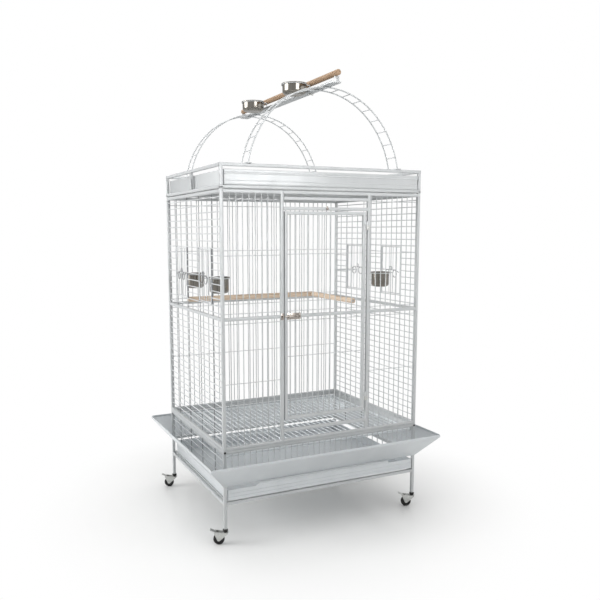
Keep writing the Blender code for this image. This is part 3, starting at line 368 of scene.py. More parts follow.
def shown_piece(name, mesh, body="cage", finish=tube_coat, slot="silver_powder_coat", angle=50):
    """Object made from a finished mesh, on one body; the slot argument is not used."""
    data = mesh_data(name, mesh)
    data.shade_smooth()
    data.set_sharp_from_angle(angle=math.radians(angle))
    finishes = (tube_coat, painted_light_wire_coat, painted_shade_coat) if finish is tube_coat else (finish,)
    if len(finishes) == 1:
        data.polygons.foreach_set("material_index", [0] * len(data.polygons))
    for coat in finishes:
        data.materials.append(coat)
    made = add_object(name, data)
    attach(made, body)
    return made


def cad_piece(node, make, mesh, **settings):
    """Shows a finished mesh in place of one node of the CAD model."""
    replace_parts(shown_piece(f"{node}_{make}", mesh, **settings), node)


def moving_piece(node, make, mesh, **settings):
    """The same for a node that is a body of its own."""
    cad_piece(node, make, mesh, body=node, **settings)


def side_frame(x, low, high, levels):
    """New mesh of two posts with welded rails between them."""
    mesh = bmesh.new()
    for y in (FRONT_Y, REAR_Y):
        square_tube(mesh, x, y, (low, high))
    for z in levels:
        square_tube(mesh, x, LET_IN, z)
        for y in (INSIDE_FRONT, INSIDE_REAR):
            rail_beads(mesh, about(x, HALF_TUBE - CORNER), y, z)
    return mesh


tray_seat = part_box("bottom_tray")[0].z - GAP
ledge_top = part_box("floor_grate")[0].z - GAP
for side, side_name in SIDES:
    x = side * POST_X
    mesh = side_frame(x, left_low.z, left_high.z, (LOW_RAIL, GUARD_RAIL, TOP_RAIL))
    rows = spaced(GUARD_RAIL + HALF_TUBE, TOP_RAIL - HALF_TUBE)
    for z in rows:
        round_bar(mesh, x, LET_IN, z)
    wire_x = side * (POST_X - WIRE_SHIFT)
    for y in SIDE_WIRES:
        # These upright wires take the darker coat: painted shade.
        round_bar(mesh, wire_x, y, (GUARD_RAIL, TOP_RAIL), WIRE, finish=ON_PAINTED_SHADE)
        for z in rows:
            weld_spot(mesh, (side * (POST_X - BAR), y, z))
    ends = (INSIDE_FRONT + GAP, INSIDE_REAR - GAP)
    inner, face = side * INSIDE_X, side * (INSIDE_X - ANGLE_SHEET)
    runner_x = side * (INSIDE_X - RUNNER_REACH)
    plate(mesh, (side * (INSIDE_X + EMBED), runner_x), ends, (tray_seat - ANGLE_SHEET, tray_seat))
    plate(mesh, (inner, face), ends, (LOW_RAIL, tray_seat))
    plate(mesh, (side * (INSIDE_X + LEDGE_BITE), face), ends, (ledge_top - LEDGE_SHEET, TOP_RAIL))
    plate(mesh, (inner, runner_x), ends, (ledge_top - LEDGE_SHEET, ledge_top))
    cad_piece(f"stand_{side_name}_frame", "welded", mesh)

for node, y in (("stand_front", FRONT_Y), ("stand_rear", REAR_Y)):
    mesh = bmesh.new()
    for z in (GUARD_RAIL, TOP_RAIL):
        cross_tube(mesh, y, z)
    for x in spaced(-INSIDE_X, INSIDE_X):
        round_bar(mesh, x, y, (GUARD_RAIL + HALF_TUBE - EMBED, TOP_RAIL - HALF_TUBE + EMBED))
    cad_piece(f"{node}_panel", "welded", mesh)
    mesh = bmesh.new()
    cross_tube(mesh, y, LOW_RAIL)
    cad_piece(f"{node}_rail", "tube", mesh)


# Seed guards
# Four trapezoids of 1.3 mm sheet fold up and out from a flange that hooks on the stand's rail.
# Their outer edge is turned upright into a lip with a rolled rim and rounded corners.
GUARD_REACH = 0.080
GUARD_RISE = 0.104
GUARD_FLANGE = 0.012
GUARD_SHEET = 0.0013
GUARD_LIP = 0.0090
GUARD_CORNER = 0.0075
GUARD_TRIM = 0.0008
GUARD_SPARE = 0.01
sheet_coat = powder_coat("silver_powder_coat_on_sheet", "#d5d9db", "#c6cacd", 0.34)
ON_SHEET = {"finish": sheet_coat, "slot": "sheet_powder_coat", "angle": 35}


def vertices_in(items):
    """The vertices among some parts of a mesh."""
    return [item for item in items if isinstance(item, bmesh.types.BMVert)]


def drawn_sheet(line, half):
    """New mesh of a sheet with a line of points as its section, drawn out along x."""
    mesh = bmesh.new()
    points = [mesh.verts.new(point - Vector((half, 0, 0))) for point in line]
    edges = [mesh.edges.new(pair) for pair in zip(points, points[1:])]
    drawn = bmesh.ops.extrude_edge_only(mesh, edges=edges)
    bmesh.ops.translate(mesh, verts=vertices_in(drawn["geom"]), vec=(2 * half, 0, 0))
    return mesh


def thicken(mesh, sheet):
    """Gives a drawn sheet its thickness."""
    bmesh.ops.recalc_face_normals(mesh, faces=mesh.faces)
    bmesh.ops.solidify(mesh, geom=mesh.faces[:], thickness=sheet)


def move(mesh, matrix):
    """Moves or turns a whole mesh."""
    bmesh.ops.transform(mesh, matrix=matrix, verts=mesh.verts)


def seed_guard(name, half_length, distance, turn):
    """Folded sheet with an upright lip, mitred at its ends."""
    root = GUARD_RAIL - HALF_TUBE
    face = -distance - GAP - GUARD_SHEET / 2
    edge = Vector((0, -distance - GUARD_REACH + GUARD_TRIM, root + GUARD_RISE - GUARD_TRIM))
    mesh = drawn_sheet([Vector((0, face, root + GUARD_FLANGE)), Vector((0, face, root)),
                        edge - Vector((0, 0, GUARD_LIP)), edge], half_length + GUARD_REACH + GUARD_SPARE)
    for side in (-1, 1):
        bmesh.ops.bisect_plane(mesh, geom=mesh.verts[:] + mesh.edges[:] + mesh.faces[:],
                               plane_co=(side * (half_length - GUARD_TRIM), -distance, 0),
                               plane_no=(side, 1, 0), clear_outer=True)
    tips = [vertex for vertex in mesh.verts if vertex.co.z > edge.z - GUARD_LIP / 2]
    soften(mesh, tips, GUARD_CORNER, 6, "VERTICES")
    thicken(mesh, GUARD_SHEET)
    span = half_length + GUARD_REACH - GUARD_CORNER * 1.3
    round_bar(mesh, (-span, span), edge.y, edge.z, GUARD_SHEET)
    move(mesh, Matrix.Translation((0, MIDDLE_Y, 0)) @ Matrix.Rotation(turn, 4, "Z"))
    cad_piece(name, "folded", mesh, **ON_SHEET)


half_width = POST_X + HALF_TUBE
half_depth = (REAR_Y - FRONT_Y + TUBE) / 2
seed_guard("seed_guard_front", half_width, half_depth, 0)
seed_guard("seed_guard_right", half_depth, half_width, math.pi / 2)
seed_guard("seed_guard_rear", half_width, half_depth, math.pi)
seed_guard("seed_guard_left", half_depth, half_width, -math.pi / 2)


# Bottom tray
# A shallow pan of folded sheet slides on the angles. Its rim is hemmed, its back stands a little
# higher, and its front has two rolls and a wide bent lip for the fingers.
TRAY_SHEET = 0.0015
TRAY_BACK_RISE = 0.012
TRAY_LIP_HALF = 0.320
TRAY_LIP_RISE = 0.0135
TRAY_LIP_OUT = 0.0075
TRAY_LIP_TRIM = 0.0008
LIP_OVERLAP = 0.004
TRAY_ROLLS, TRAY_ROLL = (0.28, 0.62), 0.0014
PAN_CORNER, LIP_CORNER = 0.002, 0.005


def folded_pan(mesh, low, high, wall):
    """Open tray with rounded upright corners and a hemmed rim."""
    edges = block_edges(mesh, (low + high) / 2, high - low)
    soften(mesh, edges_along(edges, 2, high.z - low.z), PAN_CORNER, 2)
    top = max(mesh.faces, key=lambda face: face.calc_center_median().z)
    bmesh.ops.inset_region(mesh, faces=[top], thickness=wall)
    sunk = bmesh.ops.extrude_face_region(mesh, geom=[top])
    bmesh.ops.translate(mesh, verts=vertices_in(sunk["geom"]), vec=(0, 0, low.z + wall - high.z))
    bmesh.ops.delete(mesh, geom=[top], context="FACES_ONLY")
    bmesh.ops.recalc_face_normals(mesh, faces=mesh.faces)
    hem = high.z - wall * 0.6
    for y in (low.y + wall, high.y - wall):
        round_bar(mesh, (low.x + wall, high.x - wall), y, hem, wall)
    for x in (low.x + wall, high.x - wall):
        round_bar(mesh, x, (low.y + wall, high.y - wall), hem, wall)


def join(target, part, place=Matrix()):
    """Adds a finished shape to a piece's mesh at its place."""
    move(part, place)
    data = mesh_data("part", part)
    target.from_mesh(data)
    bpy.data.meshes.remove(data)


tray_low, tray_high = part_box("bottom_tray")
mesh = bmesh.new()
pan_low = Vector((tray_low.x, FRONT_Y - HALF_TUBE, tray_low.z))
pan_high = Vector((tray_high.x, tray_high.y, tray_high.z - TRAY_LIP_RISE - TRAY_LIP_TRIM))
folded_pan(mesh, pan_low, pan_high, TRAY_SHEET)
sides = (pan_low.x + EMBED, pan_high.x - EMBED)
plate(mesh, sides, (pan_high.y - TRAY_SHEET, pan_high.y), (pan_high.z - EMBED, pan_high.z + TRAY_BACK_RISE))
for share in TRAY_ROLLS:
    round_bar(mesh, sides, pan_low.y, pan_low.z + (pan_high.z - pan_low.z) * share, TRAY_ROLL)
root = Vector((0, pan_low.y + TRAY_SHEET / 2, pan_high.z - LIP_OVERLAP))
bend = Vector((0, root.y, pan_high.z))
tip = Vector((0, pan_low.y - TRAY_LIP_OUT, pan_high.z + TRAY_LIP_RISE))
lip = drawn_sheet((root, bend, tip), TRAY_LIP_HALF)
tips = [vertex for vertex in lip.verts if vertex.co.z > (bend.z + tip.z) / 2]
for vertex in tips:
    vertex.co.x -= math.copysign(TRAY_LIP_RISE * 0.9, vertex.co.x)
soften(lip, tips, LIP_CORNER, 4, "VERTICES")
thicken(lip, TRAY_SHEET)
join(mesh, lip)
moving_piece("bottom_tray", "pan", mesh, **ON_SHEET)


# Floor grate
# An 8 mm square frame with bars from front to back and two tie bars lifts out of its ledges.
GRATE_ROD, GRATE_CORNER = 0.008, 0.001
HALF_ROD = GRATE_ROD / 2
grate_low, grate_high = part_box("floor_grate")
mesh = bmesh.new()
level = grate_low.z + HALF_ROD
for y in (grate_low.y + HALF_ROD, grate_high.y - HALF_ROD):
    square_tube(mesh, (grate_low.x, grate_high.x), y, level, GRATE_ROD, GRATE_CORNER)
for x in (grate_low.x + HALF_ROD, grate_high.x - HALF_ROD):
    square_tube(mesh, x, (grate_low.y + GRATE_ROD, grate_high.y - GRATE_ROD), level, GRATE_ROD,
                GRATE_CORNER)
grate_half_x = grate_high.x - HALF_ROD
grate_half_y = (grate_high.y - grate_low.y - GRATE_ROD) / 2
tie_places = about(MIDDLE_Y, grate_half_y / 3)
over = level + 2 * BAR - BITE
for x in spaced(-grate_half_x, grate_half_x):
    round_bar(mesh, x, (grate_low.y + EMBED, grate_high.y - EMBED), level)
    for y in tie_places:
        weld_spot(mesh, (x, y, level + BAR))
for y in tie_places:
    round_bar(mesh, (-grate_half_x, grate_half_x), y, over)
moving_piece("floor_grate", "welded", mesh, finish=painted_light_grate_coat)


# Casters
# A zinc-plated fork pressed from sheet turns on a ball race under each leg. It holds a moulded
# black wheel on a bolt, and a brake pedal that presses a shoe on the tread.
CORNERS = [(f"{end}_{side_name}", side, outward) for end, outward in (("front", -1), ("rear", 1))
           for side, side_name in SIDES]
WHEEL_WIDTH = 0.016
TREAD_ROUND = 0.0045
CHEEK_CLEARANCE = 0.002
CHEEK = 0.0022
AXLE = 0.0029
RACE = 0.0105
RACE_DROP = 0.0028
RACE_BEAD = 0.001
RACE_NECK, RACE_FLARE = 0.0045, 0.0055
CROWN_EDGE, CROWN_ROUND = 0.001, 0.002
TRAIL_ANGLE = math.radians(154.9)
AXLE_BOSS, PIVOT_BOSS, PIVOT_DROP = 0.0066, 0.0052, 0.001
HUB_ROUNDS = ((1, 1.55, 6), (0.25, 1.9, 20))
LEVER_PIVOT = (0.040, 0.0505)
LEVER_TIP = (0.059, 0.060)
RIDGES, RIDGE_FIRST, RIDGE_STEP, RIDGE = 3, 0.003, 0.0035, 0.0006
END_INSET = 0.001
SHOE_CLEARANCE = 0.0008
RUBBER_GRAIN = 0.0015


def bare_metal(name, pale, deep, roughness, grain, stretch=(1, 1, 1)):
    """Plated or polished metal with fine scratches that spread its highlights and mottle its colour; on the
    cups, stretched upright, the mottle is painted reflection.
    """
    metal, tree, place = new_material(name)
    scratch_and_painted_streak = noise(tree, add_node(tree, "Mapping", {"Vector": place, "Scale": stretch}), grain, 4.0)
    matt = add_node(tree, "MapRange", {0: scratch_and_painted_streak, 3: roughness * 0.7, 4: roughness * 1.4})
    add_skin(tree, {"Base Color": blend(tree, scratch_and_painted_streak, linear(pale), linear(deep)), "Roughness": matt,
                    "Metallic": 1.0, "Normal": relief(tree, scratch_and_painted_streak, 0.15, grain / 12)})
    return metal


zinc = bare_metal("bright_zinc_plate", "#d9dad8", "#b4b5b2", 0.28, 0.004)
race_steel = bare_metal("blackened_steel", "#4a4a48", "#2e2e2d", 0.38, 0.003)
tread_rubber, tree, place = new_material("black_wheel_rubber")
spots = noise(tree, place, RUBBER_GRAIN, 3.0)
add_skin(tree, {"Base Color": blend(tree, spots, linear("#1c1c1b"), linear("#101010")), "IOR": 1.5,
                "Roughness": 0.50, "Normal": relief(tree, spots, 0.3, RUBBER_GRAIN / 8)})
IN_ZINC = {"finish": zinc, "slot": "bright_zinc", "angle": 40}
QUARTER_TURN = Matrix.Rotation(math.pi / 2, 4, "X")
SAME_PLACE = 0.00001


def turned(profile, steps=32):
    """Mesh turned about the Z axis from (radius, height) points; closed where they meet it."""
    mesh = bmesh.new()
    points = [mesh.verts.new((radius, 0, height)) for radius, height in profile]
    edges = [mesh.edges.new(pair) for pair in zip(points, points[1:])]
    bmesh.ops.spin(mesh, geom=points + edges, cent=(0, 0, 0), axis=(0, 0, 1), angle=2 * math.pi,
                   steps=steps, use_merge=True)
    bmesh.ops.remove_doubles(mesh, verts=mesh.verts, dist=SAME_PLACE)
    bmesh.ops.recalc_face_normals(mesh, faces=mesh.faces)
    return mesh


def box_middle(node):
    """Middle of a node's box in the CAD model."""
    low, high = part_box(node)
    return (low + high) / 2


def arc(centre, radius, first, last, steps=4):
    """Points of an arc in a profile, between two angles in degrees."""
    angles = [math.radians(first + (last - first) * step / steps) for step in range(steps + 1)]
    return [(centre[0] + radius * math.cos(angle), centre[1] + radius * math.sin(angle))
            for angle in angles]


def hull(discs, thickness):
    """Plate whose outline goes round discs given as (u, z, radius), between two values of v."""
    mesh = bmesh.new()
    for u, z, radius in discs:
        for v in sorted(thickness):
            place = Matrix.Translation((u, v, z)) @ QUARTER_TURN
            bmesh.ops.create_circle(mesh, segments=20, radius=radius, matrix=place)
    wrapped = bmesh.ops.convex_hull(mesh, input=mesh.verts[:])
    spare = vertices_in(wrapped["geom_interior"] + wrapped["geom_unused"])
    bmesh.ops.delete(mesh, geom=spare, context="VERTS")
    bmesh.ops.dissolve_limit(mesh, angle_limit=0.01, verts=mesh.verts, edges=mesh.edges)
    soften(mesh, [edge for edge in mesh.edges if edge.calc_face_angle(0) > 1.0], PRESSED_EDGE, 2)
    return mesh


for corner_name, side, outward in CORNERS:
    wheel_low, wheel_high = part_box(f"caster_wheel_{corner_name}")
    radius = (wheel_high.z - wheel_low.z) / 2
    post = Vector((side * POST_X, FRONT_Y if outward < 0 else REAR_Y, 0))
    offset = (box_middle(f"caster_wheel_{corner_name}").xy - post.xy).length
    place = Matrix.Translation(post) @ Matrix.Rotation(TRAIL_ANGLE, 4, "Z")
    half = WHEEL_WIDTH / 2
    inside = half + CHEEK_CLEARANCE
    outside = inside + CHEEK
    crown = 2 * radius + CHEEK_CLEARANCE
    crown_top = crown + CHEEK
    ring_top = crown_top + 2 * RACE_BEAD
    fork = bmesh.new()
    plate(fork, (-RACE, offset + CHEEK), (-outside, outside), (crown, crown_top), CROWN_EDGE)
    round_bar(fork, offset, about(0, outside + CHEEK * 0.7), radius, AXLE, 16)
    for edge in (-1, 1):
        join(fork, hull([(-RACE + CROWN_ROUND, crown, CROWN_ROUND), (offset, radius, AXLE_BOSS),
                         (LEVER_PIVOT[0], LEVER_PIVOT[1] - PIVOT_DROP, PIVOT_BOSS)],
                        (edge * inside, edge * outside)))
        for reach, size, sides in HUB_ROUNDS:
            round_bar(fork, offset, (edge * outside, edge * (outside + CHEEK * reach)), radius,
                      AXLE * size, sides)
    join(fork, turned([(0, crown_top), (RACE * 1.15, crown_top)]
                      + arc((RACE * 1.15, crown_top + RACE_BEAD), RACE_BEAD, -90, 90)
                      + [(RACE * 0.8, ring_top), (0, ring_top)]))
    move(fork, place)
    moving_piece(f"caster_fork_{corner_name}", "pressed", fork, **IN_ZINC)

    race = turned([(0, ring_top), (RACE * 0.72, ring_top), (RACE * 0.72, crown_top + RACE_NECK),
                   (RACE * 0.98, crown_top + RACE_FLARE)]
                  + arc((RACE * 0.86, left_low.z - RACE_DROP), RACE * 0.14, 0, 90)
                  + [(0, left_low.z - RACE_DROP + RACE * 0.14)])
    move(race, place)
    shown_piece(f"caster_race_{corner_name}", race, f"caster_fork_{corner_name}", race_steel,
                "black_rubber", 40)

    face = [(AXLE + GAP, half * 0.9), (radius * 0.26, half * 0.9), (radius * 0.30, half),
            (radius * 0.40, half), (radius * 0.44, half * 0.72), (radius * 0.70, half * 0.72),
            (radius * 0.74, half * 0.95)]
    upper = face + arc((radius - TREAD_ROUND, half - TREAD_ROUND), TREAD_ROUND, 90, 0)
    wheel = turned(upper + [(r, -h) for r, h in reversed(upper)] + upper[:1], 48)
    move(wheel, place @ Matrix.Translation((offset, 0, radius)) @ QUARTER_TURN)
    moving_piece(f"caster_wheel_{corner_name}", "moulded", wheel, finish=tread_rubber,
                 slot="black_rubber", angle=35)

    pivot = Vector((LEVER_PIVOT[0], 0, LEVER_PIVOT[1]))
    tip = Vector((LEVER_TIP[0], 0, LEVER_TIP[1]))
    length = (tip - pivot).length
    reach = inside - GAP
    across = about(0, reach)
    pedal = bmesh.new()
    plate(pedal, (-AXLE, length), across, (0, CHEEK * 0.8), RIDGE)
    for number in range(RIDGES):
        round_bar(pedal, length - RIDGE_FIRST - number * RIDGE_STEP, about(0, reach - END_INSET),
                  CHEEK * 0.8, RIDGE, 8)
    lever = bmesh.new()
    slope = math.atan2(tip.z - pivot.z, tip.x - pivot.x)
    join(lever, pedal, Matrix.Translation(pivot) @ Matrix.Rotation(-slope, 4, "Y"))
    round_bar(lever, tip.x, across, tip.z, CHEEK * 0.9, 14)
    round_bar(lever, pivot.x, across, pivot.z, CHEEK, 14)
    drop = (pivot - Vector((offset, 0, radius))).length - radius - SHOE_CLEARANCE
    plate(lever, about(pivot.x, CHEEK / 2), about(0, half), (pivot.z - drop, pivot.z))
    move(lever, place)
    moving_piece(f"brake_lever_{corner_name}", "pressed", lever, **IN_ZINC)


# Cage body, side walls
# Corner posts and rails of square tube, level bars let into the posts, and four upright wires
# welded inside. Two bays are cut out above the middle rail for the feeder doors.
wall_low, wall_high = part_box("body_left_wall")
MID_RAIL = 0.8945 + HALF_TUBE
BODY_LOW_RAIL = wall_low.z + HALF_TUBE
BODY_TOP_RAIL = wall_high.z - HALF_TUBE
BODY_RAILS = (BODY_LOW_RAIL, MID_RAIL, BODY_TOP_RAIL)
BODY_SPAN = (BODY_LOW_RAIL, BODY_TOP_RAIL)
FRAME_WIRE = 0.0024
BAY_FIRST_BAR, BAY_LAST_BAR = 1, 9
UPPER_ROWS = 17
upper_step = (BODY_TOP_RAIL - MID_RAIL - TUBE) / UPPER_ROWS
bay_rows = [MID_RAIL + HALF_TUBE + upper_step * (number + 0.5) for number in range(UPPER_ROWS)]
BAY_LOW, BAY_HIGH = bay_rows[BAY_FIRST_BAR], bay_rows[BAY_LAST_BAR]

for side, side_name in SIDES:
    x = side * POST_X
    mesh = side_frame(x, wall_low.z, wall_high.z, BODY_RAILS)
    rows = spaced(BODY_LOW_RAIL + HALF_TUBE, MID_RAIL - HALF_TUBE) + bay_rows
    runs = {z: [LET_IN] for z in rows}
    for z in bay_rows[BAY_FIRST_BAR + 1:BAY_LAST_BAR]:
        runs[z] = [(LET_FRONT, SIDE_WIRES[0]), SIDE_WIRES[1:3], (SIDE_WIRES[3], LET_REAR)]
    for z, spans in runs.items():
        for span in spans:
            round_bar(mesh, x, span, z)
        for y in SIDE_WIRES:
            weld_spot(mesh, (side * (POST_X - BAR), y, z))
    wire_x = side * (POST_X - WIRE_SHIFT)
    # Upright wires on the left take the darker coat, painted shade; on the right the paler one, painted
    # light.
    coat = ON_PAINTED_SHADE if side < 0 else ON_WIRE
    for y in SIDE_WIRES:
        round_bar(mesh, wire_x, y, BODY_SPAN, WIRE, finish=coat)
        round_bar(mesh, x, y, (BAY_LOW, BAY_HIGH), FRAME_WIRE, finish=coat)
    cad_piece(f"body_{side_name}_wall", "welded", mesh)


# Rear wall and front panels
# Upright bars between square rails, tied inside by level wires that run in pairs beside the
# middle rail. The front is split by the two jambs of the door.
PAIR_OFFSET = 0.020
JAMB_X = 0.200
HEADER_TIE = 1.3585
HEADER_LOW = 1.320 + HALF_TUBE
HEADER_HIGH = HEADER_TIE + HALF_TUBE
SILL = 0.426 + HALF_TUBE
JAMB_INSIDE = JAMB_X - HALF_TUBE
JAMB_OUTSIDE = JAMB_X + HALF_TUBE
END_STRIP, TIE_INSET = 0.0015, 0.0005
PAIR = about(MID_RAIL, PAIR_OFFSET)
TIES = ((BODY_LOW_RAIL + MID_RAIL) / 2, *PAIR, (MID_RAIL + BODY_TOP_RAIL) / 2, HEADER_TIE)
PANEL_PITCHES = {-1: BAR_PITCH, 1: 0.0257}


def stepped(first, last, pitch):
    """Places one exact pitch apart from the first on, as far as the last."""
    return [first + pitch * number for number in range(int((last - first) / pitch) + 1)]


def tied_bars(mesh, places, heights, y, inward, ties, ends):
    """Upright bars with a tie wire across them at each level, welded where they cross."""
    for x in places:
        round_bar(mesh, x, y, heights, finish=ON_TUBE)
        for z in ties:
            weld_spot(mesh, (x, y + inward * BAR, z))
    for z in ties:
        round_bar(mesh, ends, y + inward * WIRE_SHIFT, z, WIRE)


def end_strip(mesh, edge, side, y, inward):
    """Flat strip that closes a barred panel beside a post."""
    plate(mesh, (edge, edge - side * END_STRIP), (y - inward * BAR, y + inward * (BAR + 2 * WIRE + GAP)),
          BODY_SPAN)


mesh = bmesh.new()
for z in BODY_RAILS:
    cross_tube(mesh, REAR_Y, z)
tied_bars(mesh, spaced(-INSIDE_X, INSIDE_X), BODY_SPAN, REAR_Y, -1, TIES,
          about(0, INSIDE_X - END_INSET))
for side in (-1, 1):
    end_strip(mesh, side * (INSIDE_X - GAP), side, REAR_Y, -1)
cad_piece("body_rear_wall", "welded", mesh)

across_tube = about(FRONT_Y, HALF_TUBE - CORNER)
for side, side_name in SIDES:
    mesh = bmesh.new()
    square_tube(mesh, side * JAMB_X, FRONT_Y, (wall_low.z, wall_high.z))
    outer = side * (INSIDE_X - GAP)
    inner = side * (JAMB_OUTSIDE - EMBED)
    for z in BODY_RAILS:
        square_tube(mesh, (outer, inner), FRONT_Y, z)
        rail_beads(mesh, side * JAMB_OUTSIDE, across_tube, z)
    pitch = PANEL_PITCHES[side]
    places = [side * (INSIDE_X - step) for step in stepped(pitch, INSIDE_X - JAMB_OUTSIDE - GAP, pitch)]
    tied_bars(mesh, places, BODY_SPAN, FRONT_Y, 1, TIES, (outer - side * TIE_INSET, inner))
    end_strip(mesh, outer, side, FRONT_Y, 1)
    cad_piece(f"front_{side_name}_panel", "welded", mesh)

for node, rails in (("front_sill", (BODY_LOW_RAIL, SILL)),
                    ("front_header", (HEADER_LOW, HEADER_HIGH, BODY_TOP_RAIL))):
    mesh = bmesh.new()
    for z in rails:
        cross_tube(mesh, FRONT_Y, z, JAMB_INSIDE - GAP)
    for side in (-1, 1):
        edge = side * (JAMB_INSIDE - GAP)
        plate(mesh, (edge, edge - side * END_STRIP), about(FRONT_Y, TUBE / 4), (rails[0], rails[-1]))
    cad_piece(node, "welded", mesh)


# Roof grille
# Thin bars across the top of the body, on two end bars that sit between the rails.
ROOF_PITCH = 0.045
roof_low, roof_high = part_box("roof_grille")
roof_ends = (roof_low.y + BAR, roof_high.y - BAR)
mesh = bmesh.new()
for y in roof_ends:
    round_bar(mesh, (roof_low.x, roof_high.x), y, BODY_TOP_RAIL)
for x in spaced(roof_low.x, roof_high.x, ROOF_PITCH):
    round_bar(mesh, x, roof_ends, BODY_TOP_RAIL, WIRE)
cad_piece("roof_grille", "welded", mesh)


# Front door
# A welded tube frame with a middle rail and upright bars. Two knuckles on its right edge turn
# on pins that stand on leaves screwed to the jamb.
DOOR_GAP, HINGE_GAP = 0.005, 0.0087
DOOR_LEFT = -JAMB_INSIDE + DOOR_GAP
DOOR_RIGHT = JAMB_INSIDE - HINGE_GAP
DOOR_LOW, DOOR_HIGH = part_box("front_door")
HINGE_X = JAMB_INSIDE - HINGE_GAP / 2
HINGE_Y = FRONT_Y - HALF_TUBE
HINGE_RADIUS = 0.0036
HINGE_LENGTH = 0.036
HINGE_LEVELS = {"lower": 0.520, "upper": 1.242}
HALF_TONGUE = 0.0012
PIN, PIN_TIP = 0.0016, 0.001
LEAF_SHEET, LEAF_REACH, LEAF_EDGE = 0.0024, 0.010, 0.0005
SCREW = 0.0024
DOOR_FIRST_BAR, DOOR_BAR_PITCH = 0.013, 0.0259
DOOR_TIE_SHARE = 0.605
mesh = bmesh.new()
left, right = DOOR_LEFT + HALF_TUBE, DOOR_RIGHT - HALF_TUBE
low, high = DOOR_LOW.z + HALF_TUBE, DOOR_HIGH.z - HALF_TUBE
for x in (left, right):
    square_tube(mesh, x, FRONT_Y, (DOOR_LOW.z, DOOR_HIGH.z))
for z in (low, MID_RAIL, high):
    square_tube(mesh, (left + HALF_TUBE - EMBED, right - HALF_TUBE + EMBED), FRONT_Y, z)
    for x in (left + HALF_TUBE, right - HALF_TUBE):
        rail_beads(mesh, x, across_tube, z, DOOR_LOW.z + CORNER, DOOR_HIGH.z - CORNER)
door_ties = (low + (MID_RAIL - low) * DOOR_TIE_SHARE, *PAIR, MID_RAIL + (high - MID_RAIL) * DOOR_TIE_SHARE)
tied_bars(mesh, stepped(DOOR_LEFT + TUBE + DOOR_FIRST_BAR, DOOR_RIGHT - TUBE, DOOR_BAR_PITCH),
          (low, high), FRONT_Y, 1, door_ties, (left, right))
for z in HINGE_LEVELS.values():
    middle, top = z + HINGE_LENGTH / 2 + GAP, z + HINGE_LENGTH
    round_bar(mesh, HINGE_X, HINGE_Y, (middle, top), HINGE_RADIUS, 20)
    plate(mesh, (right, HINGE_X), about(HINGE_Y, HALF_TONGUE), (middle, top))
moving_piece("front_door", "welded", mesh)


def screw(mesh, spot, outward, radius=SCREW):
    """Domed screw head with a hexagon socket, facing one way from a surface."""
    head = turned([(0, radius * 0.12), (radius * 0.34, radius * 0.12), (radius * 0.42, radius * 0.52),
                   (radius * 0.78, radius * 0.36), (radius, 0), (0, 0)], 18)
    join(mesh, head, facing(spot, outward))


for level_name, z in HINGE_LEVELS.items():
    mesh = bmesh.new()
    middle = z + HINGE_LENGTH / 2
    round_bar(mesh, HINGE_X, HINGE_Y, (z, middle), HINGE_RADIUS, 20)
    round_bar(mesh, HINGE_X, HINGE_Y, (middle, z + HINGE_LENGTH + PIN_TIP), PIN, 14)
    leaf_y = HINGE_Y - GAP
    plate(mesh, (HINGE_X, JAMB_INSIDE + LEAF_REACH), (leaf_y - LEAF_SHEET, leaf_y), (z, middle), LEAF_EDGE)
    for level in (z + LEAF_REACH / 2, middle - LEAF_REACH / 2):
        screw(mesh, (JAMB_INSIDE + LEAF_REACH / 2, leaf_y - LEAF_SHEET, level), (0, -1, 0))
    cad_piece(f"door_hinge_{level_name}", "leaf", mesh, **IN_ZINC)


# Latch
# A lacquered plate screwed to the door carries two arched guides, in which a round bolt with a
# turned knob slides to a keeper of the same make on the jamb.
bronze = bare_metal("worn_bronze_lacquer", "#c8c1ba", "#837b74", 0.22, 0.003, (0.2, 1, 1))
IN_BRONZE = {"finish": bronze, "slot": "dark_bronze", "angle": 35}
LATCH_SHEET = 0.002
BOLT, BOLT_TIP = 0.0025, 0.002
BOLT_TRAVEL = 0.013
KNOB_FLARE, KNOB_FACE, KNOB_ROUND = 0.0042, 0.0026, 0.0034
BAND = 0.0016
BAND_WIDTH, BAND_EDGE = 0.005, 0.0003
GUIDE_INSET = 0.003
PLATE_EDGE = 0.0006
LATCH_SCREW = 0.0021
SCREW_IN_X, SCREW_IN_Z, KEEPER_IN_Z = 0.013, 0.0042, 0.0038
plate_low, plate_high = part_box("latch_plate")
keeper_low, keeper_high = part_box("latch_keeper")
bolt_low, bolt_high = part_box("latch_bolt")
latch_face = plate_high.y - LATCH_SHEET
bolt_y = latch_face - GAP - BOLT
knob_x = (plate_low.x + plate_high.x + BOLT_TRAVEL) / 2
on_bolt = Matrix.Translation((0, bolt_y, MID_RAIL))


def arched_band(mesh, first):
    """Band of sheet that arches over the bolt from one value of x on, with two feet."""
    inner, last = BOLT + GAP, first + BAND_WIDTH
    band = bmesh.new()
    loop = [band.verts.new((x, 0, -radius)) for x, radius in
            ((first, inner), (last, inner), (last, inner + BAND), (first, inner + BAND))]
    edges = [band.edges.new((loop[number], loop[(number + 1) % 4])) for number in range(4)]
    bmesh.ops.spin(band, geom=loop + edges, cent=(0, 0, 0), axis=(-1, 0, 0), angle=math.pi, steps=12)
    bmesh.ops.holes_fill(band, edges=band.edges, sides=4)
    bmesh.ops.recalc_face_normals(band, faces=band.faces)
    join(mesh, band, on_bolt)
    for side in (-1, 1):
        root = MID_RAIL + side * inner
        plate(mesh, (first, last), (bolt_y, latch_face), (root, MID_RAIL + side * (inner + BAND)))
        plate(mesh, (first, last), (latch_face - BAND / 2, latch_face + BITE),
              (root, MID_RAIL + side * (inner + 3.2 * BAND)), BAND_EDGE)


